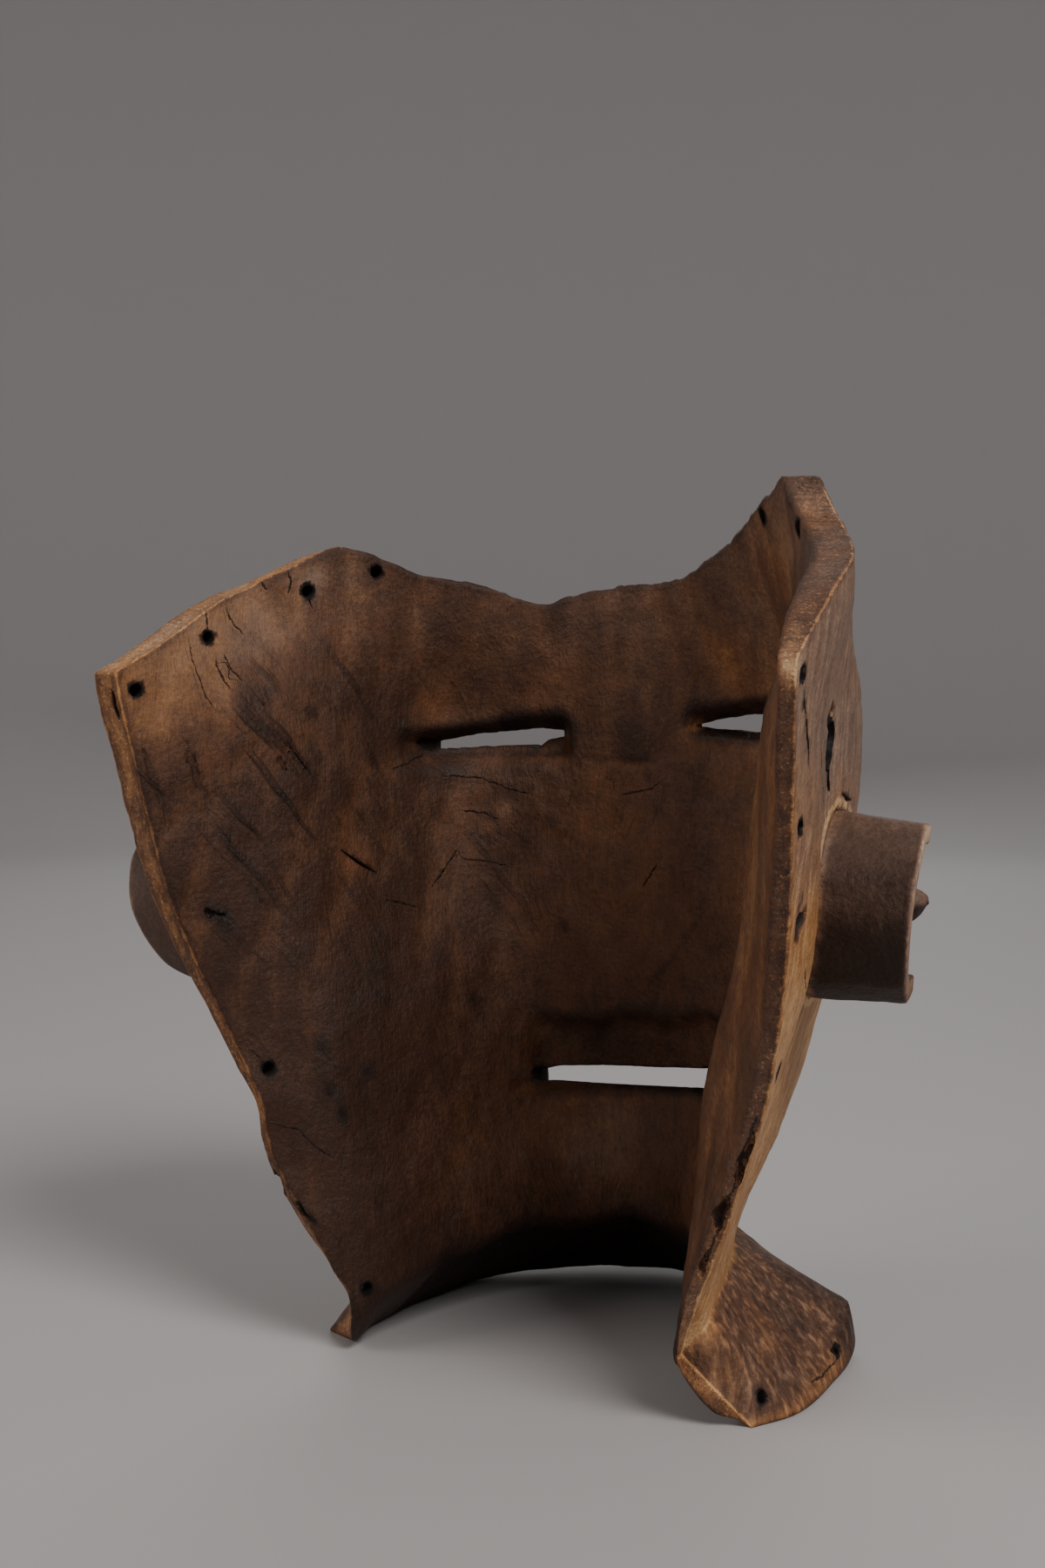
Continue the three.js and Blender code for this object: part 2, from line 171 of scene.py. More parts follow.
# Upright lines of the cavity, from the middle of the face to the back rim, each with its place across.
heights = [20, 45, 75, 105, 145, 206, 240, 275]
upright_lines = [
    {  # middle of the face
        "share": 0.0,
        "half": [0, 0, 0, 0, 0, 0, 0, 0],
        "ahead": [82, 82.5, 84, 82.5, 78, 74, 69, 64],
        "thick": [18, 18, 16, 16.5, 18, 20, 21, 18],
    },
    {  # corner where the face turns
        "share": 0.21,
        "half": [22, 23, 34, 37, 38, 41, 35, 32],
        "ahead": [70, 70, 76, 75, 72, 70, 62, 55],
        "thick": [12, 12, 15, 16.5, 17, 18, 17, 15],
    },
    {  # cheek
        "share": 0.39,
        "half": [37, 37, 45, 50, 60, 69.5, 64, 57],
        "ahead": [45, 46, 55, 56, 56, 54.5, 46, 37],
        "thick": [12, 12, 15.5, 20, 20, 17.5, 17, 13],
    },
    {  # waist of the side wall
        "share": 0.78,
        "half": [50, 54, 61.5, 66, 77, 85.5, 97, 100],
        "ahead": [4, 0, -8, -11, -13.5, -14.5, -14, -14],
        "thick": [9, 11, 15, 20, 21, 17, 13, 10.5],
    },
    {  # flank of the side wall
        "share": 0.89,
        "half": [54, 60, 69, 77, 88, 96.5, 105, 107.5],
        "ahead": [-6, -12, -19, -23.5, -32, -39, -43, -45],
        "thick": [6, 8, 12, 16.5, 17.5, 13.5, 10.5, 9.5],
    },
    {  # back rim
        "share": 1.0,
        "half": [56.5, 65, 78.5, 90, 101, 109, 111, 113],
        "ahead": [-15, -24, -30.5, -36, -50, -64, -71, -76],
        "thick": [0, 0, 0, 0, 0, 0, 0, 0],
    },
]
line_shares = [line["share"] for line in upright_lines]
section_places = [-line_shares[1]] + line_shares


def rim_width(side, height):
    """How far the end face of the back rim stands out sideways."""
    right = curve(heights, [-1, 3.5, 4.5, 4.5, 4.5, 4.5, 6, 7.5], height)
    left = curve(
        [15, 28, 42, 56, 68, 80, 96, 145, 206, 275],
        [3.6, 5.2, 7.3, 6.8, 3.8, 3.0, 5.2, 8.6, 11.2, 9.8],
        height,
    )
    return np.where(side < 0, right, left)


def across_section(half, ahead, share):
    """One horizontal section at each point, smooth across the middle."""
    x = curve(section_places, [-half[1]] + half, share)
    y = curve(section_places, [ahead[1]] + ahead, share)
    return x, y


def section_lines(side, height, outside):
    """Where the upright lines stand at each height, in the cavity or on the face."""
    half = [curve(heights, line["half"], height) for line in upright_lines]
    ahead = [curve(heights, line["ahead"], height) for line in upright_lines]
    wave = curve([15, 30, 42, 62, 72, 84, 100, 125], [1.5, 3, 3.5, 4.5, 3, -1.5, -0.5, 0], height)
    half[-1] = half[-1] + np.where(side > 0, wave, 0)
    if not outside:
        return half, ahead
    out_half = []
    out_ahead = []
    for k, line in enumerate(upright_lines[:-1]):
        share = np.full(height.shape, line["share"])
        x1, y1 = across_section(half, ahead, share + 0.02)
        x0, y0 = across_section(half, ahead, share - 0.02)
        length = np.hypot(x1 - x0, y1 - y0)
        thick = curve(heights, line["thick"], height)
        out_half.append(half[k] - (y1 - y0) / length * thick)
        out_ahead.append(ahead[k] + (x1 - x0) / length * thick)
    out_half.append(half[-1] + rim_width(side, height))
    out_ahead.append(ahead[-1] + curve(heights, [7, 4, 1, 1, 1, 1, 2, 3], height))
    return out_half, out_ahead


# The face in relief: a brow, lidded eyes in shallow sockets, a straight nose and full lips.
def face_relief(x, z):
    h = z + 0.06 * x
    aside = np.abs(x)
    from_eye = aside - 46
    in_socket = np.hypot(from_eye / 38, (h - 201) / 30)
    in_lid = np.hypot(from_eye / 29, (h - 201) / 11)
    out = 6 * (1 - ease(0.35, 1, in_lid)) - 7 * (1 - ease(0.55, 1, in_socket))
    brow_line = 222 - 4 + 8 * np.cos(np.clip(from_eye / 34, -1.4, 1.4))
    out = out + 3.5 * hump(h - brow_line, 6) * (1 - ease(60, 88, aside))
    down = np.clip((222 - h) / 100, 0, 1)
    nose_half = between(6, 13, down**2)
    ends = (1 - ease(212, 234, h)) * ease(113, 125, h)
    bridge = between(9, 21, down) * ends
    out = np.maximum(out, bridge * (1 - ease(nose_half - 4, nose_half + 5, aside)) + out * 0.2)
    along = np.sqrt(np.maximum(1 - (x / 53) ** 2, 0))
    from_lip = np.abs(h - 79.5) - 8 * along
    return out + 5 * hump(from_lip, 6) * ease(0, 0.6, along)


def lip_hollow(x, z):
    """Inside, the wood behind the upper lip is hollowed down to the mouth."""
    above = z - (82 - 0.08 * x)
    across = 1 - ease(37.5, 44, np.abs(x))
    edge = 18.0 + 1.2 * np.sin(x * 0.21) + 0.6 * np.sin(x * 0.55 + 1)
    deep = 3.2 * (1 - ease(edge - 3.5, edge + 3, above)) + 3.8 * np.clip(1 - above / edge, 0, 1)
    return deep * across * ease(-8, -4, above)


# Inside, each eye slit lies in a dish: a steep slope above it and a longer one below. Its shade value is painted
# shade on the steep slope above, which faces down.
eye_dishes = [
    {
        "side": 1, "ends": (25, 31, 70, 77), "top": (203.6, 202.4, 198.2), "low": (196.5, 196.3, 195.5),
        "up": 5.5, "down": 9, "shade": 0.3,
    },
    {
        "side": -1, "ends": (17, 27, 70, 75), "top": (205.5, 208, 208.4), "low": (203.5, 202.4, 202.2),
        "up": 5.5, "down": 3, "shade": 0.24,
    },
]


def eye_hollow(x, z):
    deep = np.zeros(x.shape)
    for dish in eye_dishes:
        aside = x * dish["side"]
        ragged = np.array([noise.noise(Vector((v * 0.3, 7, 0))) for v in x.ravel().tolist()]).reshape(x.shape)
        above = z - np.interp(aside, (27, 45, 70), dish["top"]) + 0.8 * ragged
        below = np.interp(aside, (27, 45, 70), dish["low"]) - z
        part = (1 - ease(-0.5, dish["up"], above)) * (1 - ease(0, dish["down"], below))
        a, b, c, d = dish["ends"]
        deep += 7 * part * ease(a, b, aside) * (1 - ease(c, d, aside))
    return deep


def wall(u, height, outside):
    """Points of the wall. u runs from the right rim (-1) over the middle of the face (0) to the left rim."""
    side = np.where(u < 0, -1.0, 1.0)
    share = np.abs(u)
    half, ahead = section_lines(side, height, outside)
    x, y = across_section(half, ahead, share)
    x1, y1 = across_section(half, ahead, share + 0.01)
    x0, y0 = across_section(half, ahead, share - 0.01)
    length = np.hypot(x1 - x0, y1 - y0)
    if outside:
        stands = face_relief(side * x, height) * (1 - ease(0.4, 0.62, share))
    else:
        stands = lip_hollow(side * x, height) + eye_hollow(side * x, height)
    return np.stack([side * (x - (y1 - y0) / length * stands), -y - (x1 - x0) / length * stands, height], -1)


def top_edge(u):
    """The top edge: a horn on each side, the right one higher, and the worn forehead edge dipping between."""
    share = np.abs(u)
    right = curve(
        [0, 0.12, 0.21, 0.33, 0.44, 0.5, 0.54, 0.575, 0.64, 0.72, 0.82, 0.9, 1],
        [252.5, 253.3, 258, 266.5, 272.5, 274.5, 276, 278.6, 266.5, 259, 249, 238, 221],
        share,
    )
    left = curve(
        [0, 0.1, 0.19, 0.3, 0.46, 0.55, 0.62, 0.74, 0.82, 0.9, 1],
        [252.6, 250.4, 246.6, 252.8, 258, 263.6, 264.6, 254.6, 247, 234.2, 221],
        share,
    )
    chipped = [
        1.0 * noise.noise(Vector((v * 26, 0, 3))) + 0.8 * noise.noise(Vector((v * 70, 0, 9))) for v in u.tolist()
    ]
    return np.where(u < 0, right, left) + np.array(chipped) * (1 - ease(0.45, 0.62, share))


def plate_foot(u, outside):
    """The lower edge of the flared beard plate, which the mask stands on."""
    share = np.abs(u)
    places = [-0.12, 0, 0.12, 0.21, 0.3, 0.39, 0.6, 0.78, 1]
    if outside:
        half = curve(places, [-28, 0, 28, 46, 64, 80, 84, 83.5, 75], share)
        ahead = curve(places, [113, 123, 113, 101, 87, 75, 43, 18, 0], share)
        half = np.where(u > 0, curve([0, 0.78, 1], [0, 0, 5], share), 0) + half
        ahead = np.where(u > 0, curve([0, 0.78, 1], [0, 0, 3], share), 0) + ahead
    else:
        half = curve(places, [-25, 0, 25, 42, 54, 62.5, 69, 70, 72.5], share)
        ahead = curve(places, [99, 106, 99, 88, 77.5, 64, 40, 17, 1], share)
        half = half - np.where(u > 0, curve([0, 0.78, 1], [0, 0, 6], share), 0)
        ahead = ahead - np.where(u > 0, curve([0, 0.78, 1], [0, 0, 2], share), 0)
    lift = curve([0, 0.21, 0.39, 0.5], [5, 4, 1.5, 0], share)
    return np.stack([np.where(u < 0, -half, half), -ahead, lift], -1)


def crease_height(u, outside):
    """Where the plate meets the wall above it."""
    share = np.abs(u)
    if not outside:
        right = curve([0, 0.39, 0.78, 1], [29, 27, 24, 20.5], share)
        left = curve([0, 0.39, 0.78, 1], [29, 27, 20, 12], share)
        return np.where(u < 0, right, left)
    places = [0, 0.2, 0.39, 0.5, 0.65, 0.78, 0.9, 1]
    right = curve(places, [38, 38, 37, 36.5, 36, 33, 28, 21], share)
    left = curve(places, [38, 38, 38, 38, 35, 29, 22, 14], share)
    return np.where(u < 0, right, left)


def even_steps(places, spacing):
    """Places from the first to the last given one, as far apart as spacing says at each."""
    found = [places[0]]
    while found[-1] < places[-1]:
        found.append(found[-1] + spacing(found[-1]))
    found = np.array(found)
    return places[0] + (found - places[0]) * (places[-1] - places[0]) / (found[-1] - places[0])


# The net of points: fine columns across and rows up, closer at the rims, the top edge and the slits.
arc = np.linspace(0, 1, 2001)
arc_x, arc_y = across_section(*section_lines(np.ones(2001), np.full(2001, 170.0), False), arc)
arc_length = np.concatenate([[0], np.cumsum(np.hypot(np.diff(arc_x), np.diff(arc_y)))])
cavity_reach = arc_length[-1]
column_lengths = even_steps([0, cavity_reach], lambda d: 0.8 if d > cavity_reach - 5 else 1.6)
half_columns = np.interp(column_lengths, arc_length, arc)
columns = np.concatenate([-half_columns[:0:-1], half_columns])
row_base = 38.0
row_top = 253.0


def row_spacing(h):
    if h > row_top - 5 or h < row_base + 2:
        return 0.8
    if 72 < h < 90 or 192 < h < 212:
        return 1.1
    return 1.6


wall_rows = (even_steps([row_base, row_top], row_spacing)[1:] - row_base) / (row_top - row_base)
edge_rows = 4
slope_rows = 18
plate_rows = edge_rows + slope_rows
layers = 6


def side_of_shell(outside):
    """Points [column, row] from the foot up to the top edge."""
    u = columns
    foot = plate_foot(u, outside)
    crease = wall(u, crease_height(u, outside), outside)
    rows = [foot]
    share = np.abs(u)
    if outside:
        edge = between(foot, crease, 0.06)
        edge_height = curve([0, 0.2, 0.39, 0.5, 0.6, 0.78, 1], [15, 15, 15.5, 8.5, 5, 3, 1.5], share)
        edge[:, 2] = np.maximum(edge_height, foot[:, 2] + 1.2)
        rows += [between(foot, edge, (j + 1) / edge_rows) for j in range(edge_rows)]
        rows += [between(edge, crease, (j + 1) / slope_rows) for j in range(slope_rows)]
    else:
        steps = [0.25 * (j + 1) / edge_rows for j in range(edge_rows)]
        steps += [0.25 + 0.75 * (j + 1) / slope_rows for j in range(slope_rows)]
        for t in steps:
            under = between(foot, crease, t)
            under[:, 2] -= 4 * ease(0.8, 1, share) * math.sin(math.pi * t) * np.minimum(1, under[:, 2] / 8)
            rows.append(under)
    lean = 1.2 * ease(0.52, 0.66, share) * (1 - ease(0.9, 1, share)) if outside else 0
    top = top_edge(u) + np.where(u > 0, lean, 0)
    for t in wall_rows:
        rows.append(wall(u, between(crease[:, 2], top, t), outside))
    return np.stack(rows, 1)


cavity = side_of_shell(False)
face = side_of_shell(True)
across = len(columns) - 1
up = cavity.shape[1] - 1
face_columns = [i for i, u in enumerate(columns) if u < -0.55 or i % 2 == across % 2 or i in (0, across)]


def net_of_shell():
    """Points and faces of the closed shell: cavity, face, and the strips of end wood between them."""
    key = np.full((across + 1, up + 1, layers + 1), -1, int)
    shown = np.zeros(key.shape, bool)
    shown[:, :, 0] = True
    shown[face_columns, :, layers] = True
    shown[:, 0, :layers] = True
    shown[:, up, :layers] = True
    shown[0, :, :layers] = True
    shown[across, :, :layers] = True
    i, j, k = np.nonzero(shown)
    key[i, j, k] = np.arange(i.size)
    part = (k / layers)[:, None]
    points = cavity[i, j] * (1 - part) + face[i, j] * part
    faces = []

    def quads(a, b, c, d):
        faces.extend(np.stack([a.ravel(), b.ravel(), c.ravel(), d.ravel()], 1).tolist())

    inner = key[:, :, 0]
    quads(inner[:-1, :-1], inner[1:, :-1], inner[1:, 1:], inner[:-1, 1:])
    outer = key[face_columns, :, layers]
    quads(outer[:-1, :-1], outer[:-1, 1:], outer[1:, 1:], outer[1:, :-1])
    top = key[:, up, :]
    quads(top[:-1, :-2], top[1:, :-2], top[1:, 1:-1], top[:-1, 1:-1])
    foot = key[:, 0, :]
    quads(foot[:-1, :-2], foot[:-1, 1:-1], foot[1:, 1:-1], foot[1:, :-2])
    right = key[0]
    quads(right[:-1, :-1], right[1:, :-1], right[1:, 1:], right[:-1, 1:])
    left = key[across]
    quads(left[:-1, :-1], left[:-1, 1:], left[1:, 1:], left[1:, :-1])
    for a, b in zip(face_columns, face_columns[1:]):
        for edge, turned in ((top, False), (foot, True)):
            fans = [[edge[a, layers - 1], edge[a + 1, layers - 1], edge[a, layers]]]
            if b == a + 2:
                fans.append([edge[a + 1, layers - 1], edge[b, layers - 1], edge[b, layers]])
                fans.append([edge[a + 1, layers - 1], edge[b, layers], edge[a, layers]])
            else:
                fans.append([edge[b, layers - 1], edge[b, layers], edge[a, layers]])
            faces.extend([fan[::-1] for fan in fans] if turned else fans)
    return points, faces, (i, j, k)


points, faces, (net_i, net_j, net_k) = net_of_shell()


def mesh_piece(name, points, faces):
    mesh = bpy.data.meshes.new(name)
    mesh.from_pydata((np.asarray(points) / 1000).tolist(), [], faces)
    mesh.update()
    piece = bpy.data.objects.new(name, mesh)
    bpy.context.scene.collection.objects.link(piece)
    return piece


def neighbours(faces):
    """Both ends of every side of every face."""
    pairs = set()
    for face in faces:
        for a, b in zip(face, face[1:] + face[:1]):
            pairs.add((a, b) if a < b else (b, a))
    return np.array(sorted(pairs))


def rub_down(points, pairs, wear, passes):
    """Rounds worn edges: each pass moves a point towards the middle of its neighbours, by its wear."""
    count = np.bincount(pairs.ravel(), minlength=len(points))[:, None]
    for _ in range(passes):
        total = np.zeros_like(points)
        for axis in range(3):
            total[:, axis] += np.bincount(pairs[:, 0], points[pairs[:, 1], axis], len(points))
            total[:, axis] += np.bincount(pairs[:, 1], points[pairs[:, 0], axis], len(points))
        points = points + wear[:, None] * (total / count - points)
    return points


def nearness(points, places, reach):
    """1 at the nearest of the places, falling to 0 at reach millimetres."""
    tree = kdtree.KDTree(len(places))
    for n, place in enumerate(places):
        tree.insert(place, n)
    tree.balance()
    found = np.array([tree.find(p)[2] for p in points])
    return 1 - ease(0, reach, found)


def roughness(points, size, octaves, seed):
    """Uneven wood, about -1 to 1, with lumps of about this many millimetres."""
    shifted = points / size + seed * 7.31
    return np.array([noise.fractal(p, 1.0, 2.0, octaves) for p in shifted.tolist()])


pairs = neighbours(faces)
rim_ends = (net_i == 0) | (net_i == across)
faces_meet = (net_k == 0) | (net_k == layers)
corner_lines = faces_meet & ((net_j == 0) | (net_j == up) | rim_ends) | rim_ends & (net_j == up)
rounded = nearness(points, points[corner_lines], 3.0)
inner_rim = nearness(points, points[(net_i == 0) & (net_k == 0) & (net_j > plate_rows)], 4.0)
plate_edges = (net_k == layers) & (net_j <= plate_rows) & (net_j > 0)
wear = np.clip(0.2 * rounded + 0.4 * inner_rim, 0, 0.5) * np.where(plate_edges, 0.3, 1)
points = rub_down(points, pairs, wear, 5)
inner_crease = nearness(points, points[(net_k == 0) & (net_j == plate_rows) & ~rim_ends], 13.0) * (net_k == 0)
points = rub_down(points, pairs, 0.5 * inner_crease, 30)


def outward(points, faces):
    """The direction of the faces at each point, which is outwards where the faces are turned out."""
    corners = np.array([face if len(face) == 4 else list(face) + [face[2]] for face in faces])
    a, b, c, d = (points[corners[:, n]] for n in range(4))
    facing = np.cross(c - a, d - b)
    total = np.zeros_like(points)
    for n in range(4):
        np.add.at(total, corners[:, n], facing)
    return total / np.maximum(np.linalg.norm(total, axis=1), 1e-9)[:, None]


# The adze left shallow scoops with soft ridges between them: upright ones behind the forehead, longer slanting
# ones down the side walls, and rough short ones behind the nose where the grain tore.
net_arc = np.sign(columns[net_i]) * np.interp(np.abs(columns[net_i]), arc, arc_length)
net_height = points[:, 2]
in_cavity = net_k == 0


def scooped(low, high, left, right, spacing, size, depth, lean, seed):
    """Depth of the scoops at each point of the net, over a patch of the cavity given by height and arc."""
    random = np.random.default_rng(seed)
    cut = np.zeros(len(points))
    where = np.nonzero(in_cavity & (net_height > low - 20) & (net_height < high + 20))[0]
    a = net_arc[where]
    z = net_height[where]
    for height in np.arange(low, high, spacing[1]):
        for place in np.arange(left, right, spacing[0]):
            middle = place + random.uniform(-0.35, 0.35) * spacing[0]
            level = height + random.uniform(-0.4, 0.4) * spacing[1]
            turn = math.radians(lean + random.uniform(-10, 10))
            wide = size[0] * random.uniform(0.75, 1.3)
            tall = size[1] * random.uniform(0.75, 1.3)
            p = ((a - middle) * math.cos(turn) + (z - level) * math.sin(turn)) / wide
            q = ((z - level) * math.cos(turn) - (a - middle) * math.sin(turn)) / tall
            cut[where] = np.maximum(cut[where], depth * random.uniform(0.6, 1.2) * (1 - p * p - q * q))
    return cut


facing = outward(points, faces)
scoops = scooped(212, 275, -150, 150, (13, 30), (9.5, 24), 0.8, 0, 11)
low_scoops = scooped(40, 215, 60, 205, (15, 34), (9, 30), 0.7, 30, 12)
scoops = np.maximum(scoops, low_scoops * between(0.3, 1, ease(80, 150, net_height)))
scoops = np.maximum(scoops, scooped(40, 215, -205, -60, (16, 38), (10, 32), 0.5, -16, 13))
scoops = np.maximum(scoops, scooped(40, 195, -60, 60, (17, 23), (12, 17), 0.32, 24, 14))
scoop_depth = scoops.copy()
uneven = 0.5 * roughness(points, 26, 3, 1.0) + 0.28 * roughness(points, 7, 3, 2.0)
torn = ease(150, 175, net_height) * (1 - ease(190, 197, net_height)) * hump(net_arc - 18, 34) * in_cavity
uneven = uneven + torn * 0.55 * roughness(points, 5, 3, 3.0)
standing = ease(1.0, 5.0, net_height)
points = points + facing * ((uneven - scoops) * standing)[:, None]
highest = solid_box[1][2] * 1000 - 0.05
points[:, 2] = np.minimum(points[:, 2], highest)
shell_points = points.copy()

block = mesh_piece("carved_mask", points + block_set, faces)

# Where a ray from the camera through a place of the 1200 x 1800 picture meets the wood.
eye = np.array(camera.location) * 1000 - block_set
looking = np.array([-math.sin(view_yaw), math.cos(view_yaw), 0.0])
to_the_right = np.array([looking[1], -looking[0], 0.0])
wood_tree = bvhtree.BVHTree.FromPolygons(points.tolist(), faces)


def seen_at(x, y):
    """The point of the wood that shows there, and its face's direction. A place off the edge moves in."""
    for inward in range(0, 16, 2):
        across_picture = (x + math.copysign(inward, 600 - x) - 600) / 2000
        ray = looking + to_the_right * across_picture - np.array([0, 0, (y - 827) / 2000])
        place, facing, _, _ = wood_tree.ray_cast(Vector(eye), Vector(ray).normalized())
        if place is not None:
            return np.array(place), np.array(facing)
    raise ValueError(f"no wood shows at {x}, {y}")


# The ears: half a tube standing out on each side, open to the front, with a peg in its middle, all left
# standing from the block as it was carved.
ears = [
    {
        "side": -1, "ahead": 17, "height": 152.5, "radius": 28.5, "thick": 6.5, "root": 84, "end": 119.5,
        "end_back": 6.5, "end_top": 3, "flat": 0.6,
        "painted_light_tones": [0.17, 0.22, 0.22, 0.27, 0.35, 0.39, 0.44, 0.5, 0.5],
        "peg": {"ahead": 24, "height": 152.5, "root": 80, "end": 119.3},
    },
    {
        "side": 1, "ahead": -5, "height": 149, "radius": 35, "thick": 6.5, "root": 90, "end": 123.5,
        "end_back": 7, "end_top": 6, "flat": 0.3,
        "painted_light_tones": [0.4, 0.42, 0.44, 0.46, 0.5, 0.4, 0.4, 0.42, 0.42],
        "peg": {"ahead": 10, "height": 149, "root": 84, "end": 119},
    },
]
ear_open = 1.9
ear_strips = 60
# The outside of each tube was cut in flat facets, which meet at these turns around it.
facet_corners = np.array([-1.9, -1.4, -0.8, -0.14, 0.03, 0.42, 1.38, 1.9])


def swept(loops):
    """Points and faces of a sweep through equal loops, open at both ends."""
    n = len(loops[0])
    points = np.concatenate([np.asarray(loop, float) for loop in loops])
    faces = []
    for r in range(len(loops) - 1):
        for k in range(n):
            j = (k + 1) % n
            faces.append([r * n + k, r * n + j, (r + 1) * n + j, (r + 1) * n + k])
    return points, faces


def turned_out(points, faces):
    """The same faces, turned so that the closed shape has a positive volume."""
    volume = 0.0
    for face in faces:
        for b, c in zip(face[1:], face[2:]):
            volume += np.dot(points[face[0]], np.cross(points[b], points[c]))
    return faces if volume > 0 else [face[::-1] for face in faces]


def closed_sweep(loops):
    points, faces = swept(loops)
    n = len(loops[0])
    faces.append(list(range(n))[::-1])
    faces.append([(len(loops) - 1) * n + k for k in range(n)])
    return points, turned_out(points, faces)


def ear_piece(ear):
    side = ear["side"]
    turn = np.linspace(-ear_open, ear_open, ear_strips + 1)
    corner = np.searchsorted(facet_corners, turn[1:-1])
    a = facet_corners[corner - 1]
    b = facet_corners[corner]
    chord = np.concatenate([[1], np.cos((b - a) / 2) / np.cos(turn[1:-1] - (a + b) / 2), [1]])
    flats = between(1.0, chord, ear["flat"])
    arch = np.stack([np.cos(turn) * flats, np.sin(turn) * flats], 1)
    soft = 0.5
    rims = [ear["radius"], ear["radius"] - soft, ear["radius"] - ear["thick"] / 2]
    rims += [ear["radius"] - ear["thick"] + soft, ear["radius"] - ear["thick"]]
    outline = np.concatenate([arch * rims[0]] + [arch[-1:] * r for r in rims[1:-1]] + [arch[::-1] * rims[-1]])
    outline = np.concatenate([outline] + [arch[:1] * r for r in rims[-2:0:-1]])
    back, high = outline[:, 0], outline[:, 1]
    root = np.stack([side * (ear["root"] + 0.2 * back), back - ear["ahead"], ear["height"] + high], 1)
    reach = ear["end"] + ear["end_back"] * (back / ear["radius"]) + ear["end_top"] * (high / ear["radius"])
    end = np.stack([side * reach, back - ear["ahead"], ear["height"] + high * 0.91 - 1.5], 1)
    steps = np.concatenate([np.linspace(0, 0.94, 22), [0.965, 0.985, 1.0]])
    points, faces = swept([between(root, end, t) for t in steps])
    n = len(outline)
    strips = len(rims) - 1
    last = (len(steps) - 1) * n
    near_cap = []
    for k in range(ear_strips):
        a, b = k, k + 1
        c, d = 2 * ear_strips + strips - b, 2 * ear_strips + strips - a
        near_cap.append([a, b, c, d])
    top_side = [ear_strips + m for m in range(strips + 1)]
    faces += [face[::-1] for face in near_cap]
    faces += [[last + v for v in face] for face in near_cap]
    low_side = [0] + [n - m for m in range(1, strips)] + [2 * ear_strips + strips]
    for first, turned in ((0, True), (last, False)):
        for rim in (top_side, low_side[::-1]):
            fan = [first + v for v in rim]
            faces.append(fan[::-1] if turned else fan)
    faces = turned_out(points, faces)
    worn = nearness(points, points[-n:], 2.2)
    uneven = 0.35 * roughness(points, 16, 3, 4.0) + 0.12 * roughness(points, 4, 2, 5.0)
    points = rub_down(points, neighbours(faces), 0.3 * worn, 2)
    return points + outward(points, faces[: (len(steps) - 1) * n]) * (uneven * (1 - worn))[:, None], faces


def peg_piece(ear):
    peg = ear["peg"]
    turn = np.linspace(0, 2 * math.pi, 28, endpoint=False)
    loops = []
    for t, shrink in ((0, 1), (0.3, 1), (0.6, 1), (0.8, 1), (0.9, 0.97), (0.94, 0.86), (0.985, 0.62), (1, 0.3)):
        r = between(7.5, 4.9, t) * shrink * (1 + 0.05 * np.cos(3 * turn + 5 * t))
        cut_back = between(0, 1.6, ease(0.8, 1, t)) * np.sin(turn)
        x = ear["side"] * (between(peg["root"], peg["end"], t) + np.minimum(cut_back, 0.3))
        loops.append(np.stack([x, r * np.cos(turn) - peg["ahead"], peg["height"] + r * np.sin(turn)], 1))
    return closed_sweep(loops)


def join(points, faces, how):
    """Adds a closed shape to the block or cuts it away, and leaves one closed mesh."""
    tool = mesh_piece("tool", points + block_set, faces)
    cut = block.modifiers.new("cut", "BOOLEAN")
    cut.operation = how
    cut.solver = "MANIFOLD"
    cut.object = tool
    made = bpy.data.meshes.new_from_object(block.evaluated_get(bpy.context.evaluated_depsgraph_get()))
    block.modifiers.remove(cut)
    old = block.data
    block.data = made
    bpy.data.meshes.remove(old)
    bpy.data.objects.remove(tool)


for ear in ears:
    join(*ear_piece(ear), "UNION")
    join(*peg_piece(ear), "UNION")


# The eye and mouth slits, cut through from the cavity and widening outwards.
def eye_spread(side):
    """The right slit slants towards the nose as it goes through the wood, and the left one is squarer."""
    inner_end = lambda ahead: 30.5 + 0.1 * (ahead - 70) if side > 0 else 27 - 0.46 * (ahead - 70)
    return lambda along, ahead: side * between(inner_end(ahead), 70 + 0.59 * (ahead - 55), along)


def mouth_spread(along, ahead):
    return along * (40.5 + 0.28 * (ahead - 75))


slits = [
    {
        "spread": eye_spread(1), "level": 200, "drop": 0.0,
        "outline": [
            (0, 202.4), (0.2, 203.4), (0.7, 201), (1, 198.4), (1, 195.4),
            (0.7, 196.3), (0.28, 197.2), (0.2, 196.0), (0.12, 199), (0, 200.3),
        ],
    },
    {
        "spread": eye_spread(-1), "level": 205, "drop": 0.0,
        "outline": [
            (0, 204.8), (0.1, 206.5), (0.28, 208.2), (1, 208.6),
            (1, 202.4), (0.28, 202), (0.1, 203), (0, 203.8),
        ],
    },
    {
        "spread": mouth_spread, "level": 80, "drop": 0.27,
        "outline": [
            (1, 78.8), (0.85, 80.2), (0, 82), (-0.6, 84.5), (-1, 85.4),
            (-1, 81.6), (-0.6, 82.8), (0, 81.2), (0.85, 79.0), (1, 78.0),
        ],
    },
]


